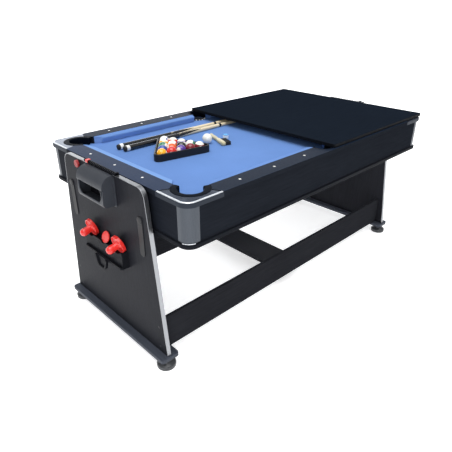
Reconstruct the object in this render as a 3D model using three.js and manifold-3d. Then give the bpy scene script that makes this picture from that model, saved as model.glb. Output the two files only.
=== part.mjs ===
// A swivelling games table: a pool table on one face of the cabinet, an air-hockey table on the other.
// The cabinet turns on two pivots between two end panels. Millimetres, +Z up, +X along the length.
// The origin is on the floor, in the middle of the table. "left" is -X, "front" is -Y.
import * as THREE from 'three';
import { mergeVertices } from 'three/addons/utils/BufferGeometryUtils.js';
import Module from 'manifold-3d';

const wasm = await Module();
wasm.setup();

// ---- driving dimensions -------------------------------------------------------------------------
const GAP = 0.3; // between two pieces that touch
const LENGTH = 1830; // cabinet, over the rails
const WIDTH = 1074;
const HEIGHT = 845; // floor to the top of the pool rails
const CABINET_DEPTH = 193; // pool rail top to hockey rail underside
const AXIS_Z = HEIGHT - CABINET_DEPTH / 2; // the swivel axis

const RAIL_WIDTH = 90;
const RAIL_THICK = 20;
const CUSHION_WIDTH = 35;
const OVERHANG = 8; // rails past the aprons
const APRON_THICK = 15;
const POST_LEG = 60; // corner posts, along each side
const POST_ROUND = 45;
const CASTING_LEG = 184; // corner castings, along the outside edge
const CASTING_LEG_INSIDE = 148; // and along the inside edge: the ends slant
const CASTING_ROUND = 50;
const CASTING_SKIRT = 22;
const BED_TOP = HEIGHT - 36;
const BED_THICK = 18;
const POCKET_FLOOR = HEIGHT - 130;
const CORNER_POCKET = { x: 803, y: 428, inner: 60, outer: 64, flange: 72 };
const CORNER_CUP = { inner: 41, outer: 44, offset: 20 }; // the drop, towards the corner
const SIDE_POCKET = { x: 0, y: 463, inner: 43, outer: 46, flange: 57 };
const HOCKEY_RAIL = { width: 75, lip: 18, height: 26, recess: 18 };

const PANEL_THICK = 19;
const PANEL_CLEARANCE = 11; // cabinet end to panel
const PANEL_BOTTOM = { z: 69.5, half: 394 };
const PANEL_TOP = { z: 846, half: 313.5, round: 45 };
const NOTCH = { half: 110, z: 800 }; // where the puck drops into the goal box
const TRIM_THICK = 3;
const BEAM = { half: 407, outer: 982, inner: 886, thick: 20 };
const FOOT = { x: 936, y: 370, radius: 44, height: 48.9 };
const STRETCHER = { y: 347.4, thick: 18, bottom: 69.8, top: 236 };
const CROSS_BOARD = { half: 93, z: 92, thick: 16 };
const GOAL_BOX = { half: 105, bottom: 711, top: HEIGHT + 1, depth: 57, wall: 4, round: 46 };
const GOAL_WINDOW = { half: 90, low: 732, high: 788, chamfer: 16 };
const SCORER = { half: 125, thick: 11, width: 21 };
const CLAMP = { y: 180, z: 826, knob: 18, thick: 11.4, travel: 4.3, stud: 5, studZ: 817 };
const HOLDER = { y: -6, half: 155, low: 431, high: 512, slotFloor: 498, slotDepth: 31 };

const COVER = { start: 8, half: 527, end: 911, thick: 17, lift: GAP };
const BALL_RADIUS = 25.4;
const PUSHER = { apart: 112, middle: -10, z: 540, radius: 42, tilt: THREE.MathUtils.degToRad(16) };
const PUCK = { x: -959.5, y: -4, z: 525.8, radius: 28, thick: 6, lean: THREE.MathUtils.degToRad(22) };

const END = LENGTH / 2;
const SIDE = WIDTH / 2;
const APRON_X = END - OVERHANG;
const APRON_Y = SIDE - OVERHANG;
const PANEL_IN = END + PANEL_CLEARANCE;
const PANEL_OUT = PANEL_IN + PANEL_THICK;
const CABINET_BOTTOM = HEIGHT - CABINET_DEPTH;
const APRON_BOTTOM = CABINET_BOTTOM + HOCKEY_RAIL.lip + GAP;
const APRON_TOP = HEIGHT - RAIL_THICK - GAP;

// ---- materials ----------------------------------------------------------------------------------
const finish = (color, roughness, metalness = 0) => ({ color, roughness, metalness });
const BLACK_BOARD = finish(0x2a2d31, 0.45);
const RAIL_BOARD = finish(0x2c3138, 0.3);
const BLACK_PLASTIC = finish(0x1b1c1e, 0.5);
const SILVER = finish(0xb9bcc0, 0.3, 0.9);
const GREY_PLASTIC = finish(0x6f7377, 0.4, 0.3);
const CHROME = finish(0x8f959c, 0.12, 1);
const STEEL = finish(0xa8abae, 0.35, 1);
const CLOTH = finish(0x5d86c9, 0.95);
const WHITE_BOARD = finish(0xe9ebec, 0.25);
const RED_PLASTIC = finish(0xd8322c, 0.35);
const MAPLE = finish(0xd9b77a, 0.35);
const BALL = finish(0xf4f1e8, 0.1);

// ---- helpers ------------------------------------------------------------------------------------
const table = new THREE.Group();

function add(name, shape, look) {
  const material = new THREE.MeshStandardMaterial(look);
  const mesh = new THREE.Mesh(shape.isBufferGeometry ? shape : geometryOf(shape), material);
  mesh.name = name;
  table.add(mesh);
  return mesh;
}

// A closed geometry as a manifold solid, and back again.
function solid(geometry) {
  const bare = geometry.clone();
  bare.deleteAttribute('normal');
  bare.deleteAttribute('uv');
  const merged = mergeVertices(bare, 1e-3);
  const vertProperties = Float32Array.from(merged.attributes.position.array);
  const triVerts = Uint32Array.from(merged.index.array);
  return new wasm.Manifold(new wasm.Mesh({ numProp: 3, vertProperties, triVerts }));
}

function geometryOf(manifold) {
  const mesh = manifold.getMesh();
  const geometry = new THREE.BufferGeometry();
  geometry.setAttribute('position', new THREE.BufferAttribute(Float32Array.from(mesh.vertProperties), 3));
  geometry.setIndex(new THREE.BufferAttribute(Uint32Array.from(mesh.triVerts), 1));
  geometry.computeVertexNormals();
  return geometry;
}

const cut = (body, ...tools) => tools.reduce((left, tool) => left.subtract(tool), body);
const join = (body, ...others) => others.reduce((sum, other) => sum.add(other), body);

function block(x0, x1, y0, y1, z0, z1) {
  const size = [x1 - x0, y1 - y0, z1 - z0];
  return solid(new THREE.BoxGeometry(...size).translate((x0 + x1) / 2, (y0 + y1) / 2, (z0 + z1) / 2));
}

const AXES = {
  x: [new THREE.Vector3(0, 1, 0), new THREE.Vector3(0, 0, 1), new THREE.Vector3(1, 0, 0)],
  y: [new THREE.Vector3(0, 0, 1), new THREE.Vector3(1, 0, 0), new THREE.Vector3(0, 1, 0)],
  z: [new THREE.Vector3(1, 0, 0), new THREE.Vector3(0, 1, 0), new THREE.Vector3(0, 0, 1)],
};

// An outline pushed along one axis: (y, z) points along x, (z, x) points along y, (x, y) points along z.
function prism(outline, axis, from, to, curveSegments = 6) {
  const flat = (points) => new THREE.Shape(points.map(([a, b]) => new THREE.Vector2(a, b)));
  const shape = Array.isArray(outline) ? flat(outline) : outline;
  const options = { depth: to - from, bevelEnabled: false, curveSegments };
  const geometry = new THREE.ExtrudeGeometry(shape, options);
  geometry.translate(0, 0, from);
  return solid(geometry.applyMatrix4(new THREE.Matrix4().makeBasis(...AXES[axis])));
}

// A closed (radius, height) profile turned round the local z axis, which then points along the given axis.
function turned(profile, axis = 'z', segments = 20) {
  const points = profile.map(([r, h]) => new THREE.Vector2(r, h));
  const geometry = new THREE.LatheGeometry(points, segments);
  geometry.rotateX(Math.PI / 2);
  return solid(geometry.applyMatrix4(new THREE.Matrix4().makeBasis(...AXES[axis])));
}

const rod = (radius, from, to, axis = 'z', segments = 20) =>
  turned([[0, from], [radius, from], [radius, to], [0, to]], axis, segments);

function roundedRect(halfX, halfY, radius) {
  const shape = new THREE.Shape();
  shape.moveTo(-halfX + radius, -halfY);
  shape.lineTo(halfX - radius, -halfY);
  shape.absarc(halfX - radius, -halfY + radius, radius, -Math.PI / 2, 0);
  shape.absarc(halfX - radius, halfY - radius, radius, 0, Math.PI / 2);
  shape.absarc(-halfX + radius, halfY - radius, radius, Math.PI / 2, Math.PI);
  shape.absarc(-halfX + radius, -halfY + radius, radius, Math.PI, Math.PI * 1.5);
  return shape;
}

// A piece made for the left end (-X) or the front left corner, mirrored to the other ends and corners.
const atEnd = (body, side) => (side === 'left' ? body : body.mirror([1, 0, 0]));
const atSide = (body, side) => (side === 'front' ? body : body.mirror([0, 1, 0]));
// The stand's two ends are alike: the right one is the left one turned round.
const turnedEnd = (body, end) => (end === 'left' ? body : body.rotate([0, 0, 180]));
const ENDS = ['left', 'right'];
const SIDES = ['front', 'rear'];

// ---- stand --------------------------------------------------------------------------------------
// The panel's outline, grown outwards by a margin: straight tapered sides, round top corners, a notch.
function panelOutline(margin) {
  const { z: low, half: wide } = PANEL_BOTTOM;
  const top = PANEL_TOP.z + margin;
  const slope = (wide - PANEL_TOP.half) / (PANEL_TOP.z - low);
  const edge = (z) => wide + margin - slope * (z - low);
  const round = PANEL_TOP.round + margin;
  const notchHalf = NOTCH.half - margin;
  const shape = new THREE.Shape();
  shape.moveTo(-wide - margin, low);
  shape.lineTo(wide + margin, low);
  shape.lineTo(edge(top - round), top - round);
  shape.quadraticCurveTo(edge(top), top, edge(top) - round, top);
  shape.lineTo(notchHalf, top);
  shape.lineTo(notchHalf, NOTCH.z + margin);
  shape.lineTo(-notchHalf, NOTCH.z + margin);
  shape.lineTo(-notchHalf, top);
  shape.lineTo(-edge(top) + round, top);
  shape.quadraticCurveTo(-edge(top), top, -edge(top - round), top - round);
  return shape;
}

function legPanel() {
  const board = prism(panelOutline(0), 'x', -PANEL_OUT, -PANEL_IN);
  const pivotHole = rod(12 + GAP, -PANEL_OUT - 1, -PANEL_IN + 1, 'x').translate(0, 0, AXIS_Z);
  const clampHole = rod(CLAMP.stud + GAP, -PANEL_OUT - 1, -PANEL_IN + 1, 'x', 12);
  return cut(board, pivotHole, clampHole.translate(0, CLAMP.y, CLAMP.studZ));
}

function panelTrim() {
  const band = prism(panelOutline(TRIM_THICK), 'x', -PANEL_OUT, -PANEL_IN);
  return cut(band, prism(panelOutline(GAP), 'x', -PANEL_OUT - 1, -PANEL_IN + 1));
}

function baseBeam() {
  const top = PANEL_BOTTOM.z - GAP;
  const middle = (BEAM.outer + BEAM.inner) / 2;
  const plank = prism(roundedRect((BEAM.outer - BEAM.inner) / 2, BEAM.half, 14), 'z', top - BEAM.thick, top);
  const studHole = rod(6 + GAP, 0, 100, 'z', 12);
  const holes = [-1, 1].map((sign) => studHole.translate(-FOOT.x, sign * FOOT.y, 0));
  return cut(plank.translate(-middle, 0, 0), ...holes);
}

function levellingFoot() {
  const { radius: r, height: h } = FOOT;
  const pad = [[0, 0], [r - 5, 0], [r, 5], [r, 20], [r - 6, 29], [24, 36], [20, h]];
  const stud = [[6, h], [6, h + 17], [0, h + 17]];
  return turned([...pad, ...stud], 'z', 24);
}

// A half-round box on the panel, open at the back, with the window the puck is taken out of.
function goalBox() {
  const { half, bottom, top, depth, wall, round } = GOAL_BOX;
  const face = -PANEL_OUT - GAP;
  const profile = (inset) => {
    const shape = new THREE.Shape();
    const out = face - depth + inset;
    shape.moveTo(bottom + inset, face + (inset ? 1 : 0));
    shape.lineTo(bottom + inset, out);
    shape.lineTo(top - round, out);
    shape.quadraticCurveTo(top - inset, out, top - inset, out + round);
    shape.lineTo(top - inset, face + (inset ? 1 : 0));
    return shape;
  };
  const shell = prism(profile(0), 'y', -half, half);
  const hollow = prism(profile(wall), 'y', -half + wall, half - wall);
  const { half: open, low, high, chamfer } = GOAL_WINDOW;
  const outline = [
    [-open, high], [-open, low + chamfer], [-open + chamfer, low],
    [open - chamfer, low], [open, low + chamfer], [open, high],
  ];
  const window = prism(outline, 'x', face - depth - 1, face - depth + wall + 1);
  const flange = (sign) => {
    const edges = [sign * (half - 1), sign * (half + 12)].sort((a, b) => a - b);
    return block(face - 3, face, edges[0], edges[1], bottom - 6, top - 8);
  };
  return cut(join(shell, flange(-1), flange(1)), hollow, window);
}

function scorerStrip() {
  const middle = -(PANEL_OUT + PANEL_IN) / 2;
  const bottom = PANEL_TOP.z + TRIM_THICK + GAP;
  const half = SCORER.width / 2;
  return block(middle - half, middle + half, -SCORER.half, SCORER.half, bottom, bottom + SCORER.thick);
}

// The score pointer hooks over the strip's outer edge.
function scorerSlider() {
  const edge = -(PANEL_OUT + PANEL_IN) / 2 - SCORER.width / 2;
  const top = PANEL_TOP.z + TRIM_THICK + SCORER.thick + 2 * GAP;
  const plate = block(edge - 3.3, edge + 16, -8, 8, top, top + 2.4);
  const wall = block(edge - 3.3, edge - GAP, -8, 8, top - 10.5, top + 1);
  return join(plate, wall).translate(0, SCORER.half - 27, 0);
}

// The clamp's knob, and its stud through the panel. It rests just clear of the rails' sweep.
function clampKnob() {
  const { knob, thick, travel, stud } = CLAMP;
  const start = -PANEL_OUT - GAP - travel;
  const profile = [
    [0, start - thick], [knob - 5, start - thick], [knob, start - thick + 5],
    [knob, start - 3], [knob - 2, start], [0, start],
  ];
  const pin = rod(stud, start - 1, -END - GAP, 'x', 16).translate(0, CLAMP.y, CLAMP.studZ);
  return join(turned(profile, 'x', 24).translate(0, CLAMP.y, CLAMP.z), pin);
}

function pivotAxle() {
  const face = -APRON_X - GAP;
  const cap = -PANEL_OUT - GAP;
  const profile = [
    [0, cap - 9], [14, cap - 9], [20, cap - 5], [24, cap], [12, cap],
    [12, face - 4], [34, face - 4], [34, face], [0, face],
  ];
  return turned(profile, 'x', 18).translate(0, 0, AXIS_Z);
}

// A block on the left panel with a slot that holds the two pushers and the puck on edge, and a lipped
// shelf and a tongue in front of it.
function pusherHolder() {
  const { y, half, low, high, slotFloor, slotDepth } = HOLDER;
  const face = -PANEL_OUT - GAP;
  const body = block(face - slotDepth - 3, face, -half, half, low, high);
  const shelf = block(face - 45, face - slotDepth, -half - 5, half + 5, low, low + 6);
  const lip = block(face - 45, face - 42, -half - 5, half + 5, low, low + 11);
  const slot = block(face - slotDepth, face + 1, -half + 5, half - 5, slotFloor, high + 1);
  const tongueShape = [[52, low + 8], [40, 392], [28, 380], [-28, 380], [-40, 392], [-52, low + 8]];
  const tongue = prism(tongueShape, 'x', face - 57, face - 44);
  return cut(join(body, shelf, lip, tongue), slot).translate(0, y, 0);
}

function pusher() {
  const r = PUSHER.radius;
  const skirt = [[0, -4], [r - 4, -4], [r - 4, -8], [r, -8], [r, 4], [r - 5, 8], [17, 9]];
  const knob = [[14, 14], [14, 24], [20, 33], [21, 42], [19, 52], [11, 60], [0, 62]];
  return turned([...skirt, ...knob], 'x', 20).mirror([1, 0, 0]);
}

for (const end of ENDS) {
  add(`leg_panel_${end}`, turnedEnd(legPanel(), end), BLACK_BOARD);
  add(`panel_trim_${end}`, turnedEnd(panelTrim(), end), SILVER);
  add(`base_beam_${end}`, turnedEnd(baseBeam(), end), BLACK_BOARD);
  add(`goal_box_${end}`, turnedEnd(goalBox(), end), BLACK_PLASTIC);
  add(`scorer_strip_${end}`, turnedEnd(scorerStrip(), end), BLACK_PLASTIC);
  add(`scorer_slider_${end}`, turnedEnd(scorerSlider(), end), RED_PLASTIC);
  add(`clamp_knob_${end}`, turnedEnd(clampKnob(), end), RED_PLASTIC);
  for (const side of SIDES) {
    const foot = levellingFoot().translate(-FOOT.x, -FOOT.y, 0);
    add(`levelling_foot_${side}_${end}`, atSide(atEnd(foot, end), side), BLACK_PLASTIC);
  }
}

for (const side of SIDES) {
  const { y, thick, bottom, top } = STRETCHER;
  const reach = PANEL_IN - GAP;
  add(`stretcher_${side}`, atSide(block(-reach, reach, -y, -y + thick, bottom, top), side), BLACK_BOARD);
}
const boardHalf = STRETCHER.y - STRETCHER.thick - GAP;
const { half: boardX, z: boardZ, thick: boardThick } = CROSS_BOARD;
add('cross_board', block(-boardX, boardX, -boardHalf, boardHalf, boardZ, boardZ + boardThick), BLACK_BOARD);

add('pusher_holder', pusherHolder(), BLACK_PLASTIC);
for (const [name, side] of [['pusher_rear', 1], ['pusher_front', -1]]) {
  const mesh = add(name, pusher(), RED_PLASTIC);
  mesh.rotation.y = -PUSHER.tilt;
  mesh.position.set(-PANEL_OUT - 20.5, PUSHER.middle + side * PUSHER.apart, PUSHER.z);
}
const puck = add('puck', rod(PUCK.radius, -PUCK.thick / 2, PUCK.thick / 2, 'x', 28), RED_PLASTIC);
puck.rotation.y = PUCK.lean;
puck.position.set(PUCK.x, PUCK.y, PUCK.z);

// ---- cabinet ------------------------------------------------------------------------------------
function postOutline(inset) {
  const outX = -APRON_X + inset;
  const outY = -APRON_Y + inset;
  const round = POST_ROUND - inset;
  const endX = -APRON_X + POST_LEG;
  const endY = -APRON_Y + POST_LEG;
  return { outX, outY, round, endX, endY };
}

// An upright corner post: an angle with a round outside corner.
function cornerPost() {
  const out = postOutline(0);
  const inn = postOutline(APRON_THICK);
  const shape = new THREE.Shape();
  shape.moveTo(out.outX, out.endY - GAP);
  shape.lineTo(out.outX, out.outY + out.round);
  shape.absarc(out.outX + out.round, out.outY + out.round, out.round, Math.PI, Math.PI * 1.5);
  shape.lineTo(out.endX - GAP, out.outY);
  shape.lineTo(out.endX - GAP, inn.outY);
  shape.lineTo(inn.outX + inn.round, inn.outY);
  shape.absarc(inn.outX + inn.round, inn.outY + inn.round, inn.round, Math.PI * 1.5, Math.PI, true);
  shape.lineTo(inn.outX, out.endY - GAP);
  return prism(shape, 'z', APRON_BOTTOM, APRON_TOP, 5);
}

// How far a casting runs from the corner, at a distance from the outside edge.
const castingReach = (d) => CASTING_LEG + ((CASTING_LEG_INSIDE - CASTING_LEG) * d) / RAIL_WIDTH;

// A band along the two sides of a corner, between two distances from the outside edge.
function cornerBand(from, to, z0, z1) {
  const shape = new THREE.Shape();
  const centre = [-END + CASTING_ROUND, -SIDE + CASTING_ROUND];
  shape.moveTo(-END + from, -SIDE + castingReach(from));
  shape.lineTo(-END + from, centre[1]);
  shape.absarc(...centre, CASTING_ROUND - from, Math.PI, Math.PI * 1.5);
  shape.lineTo(-END + castingReach(from), -SIDE + from);
  shape.lineTo(-END + castingReach(to), -SIDE + to);
  if (to < CASTING_ROUND) shape.absarc(...centre, CASTING_ROUND - to, Math.PI * 1.5, Math.PI, true);
  else shape.lineTo(-END + to, -SIDE + to);
  shape.lineTo(-END + to, -SIDE + castingReach(to));
  return prism(shape, 'z', z0, z1, 5);
}

const pocketBore = (pocket, radius, z0, z1) =>
  rod(radius, z0, z1, 'z', 28).translate(-pocket.x, -pocket.y, 0);
const SEAT = HEIGHT - 3; // the pocket's flange lies in a recess

function cornerCasting() {
  const plate = cornerBand(0, RAIL_WIDTH - GAP, HEIGHT - RAIL_THICK, HEIGHT);
  const skirt = cornerBand(0, OVERHANG - GAP, HEIGHT - CASTING_SKIRT, HEIGHT - RAIL_THICK + 1);
  const recess = pocketBore(CORNER_POCKET, CORNER_POCKET.flange + GAP, SEAT - GAP, HEIGHT + 1);
  const bore = pocketBore(CORNER_POCKET, CORNER_POCKET.outer + GAP, 700, HEIGHT + 1);
  return cut(join(plate, skirt), recess, bore);
}

// The pocket's flanged collar, which stands on the bed and is open towards the cloth, round the z axis.
function collar({ inner, outer, flange }) {
  const profile = [
    [inner, BED_TOP + GAP], [outer, BED_TOP + GAP], [outer, SEAT], [flange, SEAT], [flange, HEIGHT],
    [inner, HEIGHT], [inner, BED_TOP + GAP],
  ];
  return turned(profile, 'z', 28);
}

function cup(inner, outer, top) {
  const profile = [
    [0, POCKET_FLOOR], [outer, POCKET_FLOOR], [outer, top], [inner, top],
    [inner, POCKET_FLOOR + 3], [0, POCKET_FLOOR + 3],
  ];
  return turned(profile, 'z', 24);
}

// The corner cup drops nearer the corner than its collar's centre, and meets the collar only there.
function cornerPocket() {
  const { inner, outer, offset } = CORNER_CUP;
  const shift = offset / Math.SQRT2;
  const mouth = block(26, 120, -120, 120, BED_TOP, HEIGHT + 1).rotate([0, 0, 45]);
  const shelf = rod(CORNER_POCKET.inner - 1, BED_TOP - 1, HEIGHT, 'z', 28);
  const drop = cut(cup(inner, outer, BED_TOP + 6).translate(-shift, -shift, 0), shelf);
  return join(cut(collar(CORNER_POCKET), mouth), drop).translate(-CORNER_POCKET.x, -CORNER_POCKET.y, 0);
}

function sidePocket() {
  const { inner, outer } = SIDE_POCKET;
  const mouth = block(-100, 100, RAIL_WIDTH - SIDE + SIDE_POCKET.y - 1, 100, BED_TOP, HEIGHT + 1);
  const drop = cup(inner, outer, BED_TOP + 6);
  return cut(join(collar(SIDE_POCKET), drop), mouth).translate(0, -SIDE_POCKET.y, 0);
}

// The space that a corner casting and its pocket take out of the rails, round the front left corner.
function cornerSpace() {
  const near = castingReach(-1) + 1.5 * GAP;
  const far = castingReach(RAIL_WIDTH) + 1.5 * GAP;
  const outline = [
    [-END - 1, -SIDE - 1], [-END + near, -SIDE - 1], [-END + far, -SIDE + RAIL_WIDTH],
    [-END + RAIL_WIDTH, -SIDE + far], [-END - 1, -SIDE + near],
  ];
  const recess = pocketBore(CORNER_POCKET, CORNER_POCKET.flange + GAP, SEAT - GAP, HEIGHT + 1);
  const bore = pocketBore(CORNER_POCKET, CORNER_POCKET.outer + GAP, 700, HEIGHT + 1);
  return join(prism(outline, 'z', 700, HEIGHT + 1), recess, bore);
}

// A rail's section, from its outside edge inwards: the board, the block under it, and the cushion.
function railSection(cushion) {
  const d = RAIL_WIDTH;
  const under = OVERHANG + APRON_THICK + GAP;
  const board = [[under, HEIGHT - RAIL_THICK], [0, HEIGHT - RAIL_THICK], [0, HEIGHT], [d, HEIGHT]];
  const tip = d + CUSHION_WIDTH;
  const nose = [[d + 2, HEIGHT - 2], [tip, HEIGHT - 8], [tip, HEIGHT - 14], [d + 2, HEIGHT - 31]];
  const foot = [[d, BED_TOP + GAP], [under, BED_TOP + GAP]];
  return [...board, ...(cushion ? nose : []), ...foot];
}

const BACK = RAIL_WIDTH; // the cushion, from its back to just past its nose
const NOSE = RAIL_WIDTH + CUSHION_WIDTH + 1;

function longRail() {
  const section = railSection(true).map(([d, z]) => [-SIDE + d, z]);
  const half = END - CASTING_LEG_INSIDE;
  const rail = prism(section, 'x', -half, half);
  const jawBack = END - CASTING_LEG - 9;
  const jawShape = [
    [-half - 1, -SIDE + BACK], [-jawBack, -SIDE + BACK],
    [-jawBack + 36, -SIDE + NOSE], [-half - 1, -SIDE + NOSE],
  ];
  const corner = join(cornerSpace(), prism(jawShape, 'z', 700, HEIGHT + 1));
  const mouth = [[-52, -SIDE + BACK - 4], [52, -SIDE + BACK - 4], [66, -SIDE + NOSE], [-66, -SIDE + NOSE]];
  const throat = prism(mouth, 'z', 700, HEIGHT + 1);
  const recess = pocketBore(SIDE_POCKET, SIDE_POCKET.flange + GAP, SEAT - GAP, HEIGHT + 1);
  const bore = pocketBore(SIDE_POCKET, SIDE_POCKET.outer + GAP, 700, HEIGHT + 1);
  return cut(rail, corner, corner.mirror([1, 0, 0]), throat, recess, bore);
}

function endRail() {
  const section = railSection(true).map(([d, z]) => [z, -END + d]);
  const half = SIDE - CASTING_LEG_INSIDE;
  const rail = prism(section, 'y', -half, half);
  const jawBack = SIDE - CASTING_LEG - 3;
  const jawShape = [
    [-END + BACK, -half - 1], [-END + NOSE, -half - 1],
    [-END + NOSE, -jawBack + 36], [-END + BACK, -jawBack],
  ];
  const corner = join(cornerSpace(), prism(jawShape, 'z', 700, HEIGHT + 1));
  return cut(rail, corner, corner.mirror([0, 1, 0]));
}

function poolBed() {
  const x = APRON_X - APRON_THICK - GAP;
  const y = APRON_Y - APRON_THICK - GAP;
  const board = prism(roundedRect(x, y, 32), 'z', BED_TOP - BED_THICK, BED_TOP, 3);
  const shift = CORNER_CUP.offset / Math.SQRT2;
  const sideHole = rod(SIDE_POCKET.outer + GAP, 700, HEIGHT, 'z', 28).translate(0, -SIDE_POCKET.y, 0);
  const cornerHole = rod(CORNER_CUP.outer + GAP, 700, HEIGHT, 'z', 24);
  const corner = cornerHole.translate(-CORNER_POCKET.x - shift, -CORNER_POCKET.y - shift, 0);
  const cornerHoles = (side) => ENDS.map((end) => atSide(atEnd(corner, end), side));
  const holes = SIDES.flatMap((side) => [atSide(sideHole, side), ...cornerHoles(side)]);
  return cut(board, ...holes);
}

// The hockey face looks down: a ring of rails with a goal slot through each end, and a bed inside it.
// The ring's lip runs under the aprons, and its upper part stands inside them.
function hockeyRails() {
  const { width, lip, height, recess } = HOCKEY_RAIL;
  const inset = OVERHANG + APRON_THICK + GAP;
  const top = CABINET_BOTTOM + height;
  const outer = prism(roundedRect(END, SIDE, CASTING_ROUND), 'z', CABINET_BOTTOM, CABINET_BOTTOM + lip, 5);
  const inner = prism(roundedRect(END - inset, SIDE - inset, 32), 'z', CABINET_BOTTOM + 1, top, 3);
  const field = block(-END + width, END - width, -SIDE + width, SIDE - width, 600, top + 1);
  const goal = block(-END - 1, END + 1, -140, 140, CABINET_BOTTOM + 4, CABINET_BOTTOM + recess);
  return cut(join(outer, inner), field, goal);
}

function hockeyBed() {
  const { width, height, recess } = HOCKEY_RAIL;
  const x = END - width - GAP;
  const y = SIDE - width - GAP;
  return block(-x, x, -y, y, CABINET_BOTTOM + recess, CABINET_BOTTOM + height);
}

// The hockey face's air blower, under the middle of the field.
function blower() {
  const base = CABINET_BOTTOM + HOCKEY_RAIL.height + GAP;
  const drum = turned([[0, base], [78, base], [78, base + 44], [70, base + 52], [0, base + 52]], 'z', 20);
  return join(drum, block(20, 125, 30, 77, base, base + 40)).translate(-60, 0, 0);
}

for (const side of SIDES) {
  const reach = APRON_X - POST_LEG;
  const board = block(-reach, reach, -APRON_Y, -APRON_Y + APRON_THICK, APRON_BOTTOM, APRON_TOP);
  add(`apron_${side}`, atSide(board, side), BLACK_BOARD);
  add(`rail_${side}`, atSide(longRail(), side), RAIL_BOARD);
  add(`side_pocket_${side}`, atSide(sidePocket(), side), BLACK_PLASTIC);
}
for (const end of ENDS) {
  const reach = APRON_Y - POST_LEG;
  const board = block(-APRON_X, -APRON_X + APRON_THICK, -reach, reach, APRON_BOTTOM, APRON_TOP);
  add(`apron_${end}`, atEnd(board, end), BLACK_BOARD);
  add(`rail_${end}`, atEnd(endRail(), end), RAIL_BOARD);
  add(`pivot_axle_${end}`, atEnd(pivotAxle(), end), STEEL);
  for (const side of SIDES) {
    add(`corner_post_${side}_${end}`, atSide(atEnd(cornerPost(), end), side), GREY_PLASTIC);
    add(`corner_casting_${side}_${end}`, atSide(atEnd(cornerCasting(), end), side), CHROME);
    add(`corner_pocket_${side}_${end}`, atSide(atEnd(cornerPocket(), end), side), BLACK_PLASTIC);
  }
}
add('pool_bed', poolBed(), CLOTH);
add('hockey_rails', hockeyRails(), BLACK_BOARD);
add('hockey_bed', hockeyBed(), WHITE_BOARD);
add('air_blower', blower(), BLACK_PLASTIC);

// ---- loose top and playing set --------------------------------------------------------------------
const coverMiddle = (COVER.start + COVER.end) / 2;
const coverBottom = HEIGHT + COVER.lift;
const coverShape = roundedRect((COVER.end - COVER.start) / 2, COVER.half, 8);
const coverBoard = prism(coverShape, 'z', coverBottom, coverBottom + COVER.thick, 3);
add('cover_board_right', coverBoard.translate(coverMiddle, 0, 0), BLACK_BOARD);

// A cue that lies on the cloth, from the middle of its butt end towards its tip.
function cue(name, butt, tip, length) {
  const radii = [[0, 0], [12, 0], [14, 4], [6, length - 3], [4.5, length], [0, length]];
  const mesh = add(name, turned(radii, 'z', 14), MAPLE);
  const from = new THREE.Vector3(butt[0], butt[1], BED_TOP + GAP + 14);
  const to = new THREE.Vector3(tip[0], tip[1], BED_TOP + GAP + 6);
  mesh.position.copy(from);
  mesh.quaternion.setFromUnitVectors(new THREE.Vector3(0, 0, 1), to.clone().sub(from).normalize());
}
const CUE_LENGTH = 1220;
cue('cue_rear', [-692, 265], [528, 286], CUE_LENGTH);
cue('cue_front', [-684, 219], [536, 242], CUE_LENGTH);

// The racked balls: five rows that touch, with the rack's frame round them.
const ROW = 2 * BALL_RADIUS * Math.sin(Math.PI / 3);
const RACK = { inner: 86, outer: 95.5, round: 25, height: 36 };
const RACK_CENTRE = new THREE.Vector3(-504, 43, BED_TOP + GAP);
const RACK_TURN = THREE.MathUtils.degToRad(19.6);

function ballPlaces() {
  const places = [];
  for (let row = 0; row < 5; row++) {
    for (let i = 0; i <= row; i++) {
      places.push([(row - 8 / 3) * ROW, (i - row / 2) * 2 * BALL_RADIUS]);
    }
  }
  return places;
}

function rackedBalls() {
  const ball = solid(new THREE.IcosahedronGeometry(BALL_RADIUS + 0.6, 1));
  const places = ballPlaces();
  const balls = places.map(([x, y]) => ball.translate(x, y, BALL_RADIUS));
  const [apex, left, right] = [places[0], places[10], places[14]];
  const web = prism([apex, right, left], 'z', BALL_RADIUS - 4, BALL_RADIUS + 4);
  const base = block(-200, 200, -200, 200, -20, 0);
  return cut(join(web, ...balls), base);
}

// A triangle with round corners, from its centre-to-side distance.
function triangle(inradius, round) {
  const shape = new THREE.Shape();
  const reach = 2 * (inradius - round);
  for (let i = 0; i < 3; i++) {
    const angle = Math.PI + (i * 2 * Math.PI) / 3;
    const [x, y] = [Math.cos(angle) * reach, Math.sin(angle) * reach];
    shape.absarc(x, y, round, angle - Math.PI / 3, angle + Math.PI / 3);
  }
  return shape;
}

function rackFrame() {
  const { inner, outer, round, height } = RACK;
  const body = prism(triangle(outer, round), 'z', 0, height, 6);
  return cut(body, prism(triangle(inner, round + inner - outer), 'z', -1, height + 1, 6));
}

const rackPieces = [['racked_balls', rackedBalls(), BALL], ['ball_rack', rackFrame(), BLACK_PLASTIC]];
for (const [name, shape, look] of rackPieces) {
  const mesh = add(name, shape, look);
  mesh.position.copy(RACK_CENTRE);
  mesh.rotation.z = RACK_TURN;
}
const cueBall = add('cue_ball', solid(new THREE.IcosahedronGeometry(BALL_RADIUS, 2)), BALL);
cueBall.position.set(-297, 40, BED_TOP + GAP + BALL_RADIUS);

// A table brush that lies on its side: a slim handle, a wider head, and a tuft of bristles beside it.
function brush() {
  const outline = [
    [-7, 110], [-10, 104], [-9, 70], [-11, 45], [-8, 14], [-12, -4], [-12, -76], [-8, -80],
    [8, -80], [10, -76], [10, -4], [8, 14], [11, 45], [9, 70], [10, 104], [7, 110],
  ];
  return join(prism(outline, 'z', 0, 20), block(8, 40, -76, -6, 1, 20));
}
const brushMesh = add('table_brush', brush(), MAPLE);
brushMesh.position.set(-239, 18, BED_TOP + GAP);
brushMesh.rotation.z = THREE.MathUtils.degToRad(-20.7);

export default table;
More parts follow.
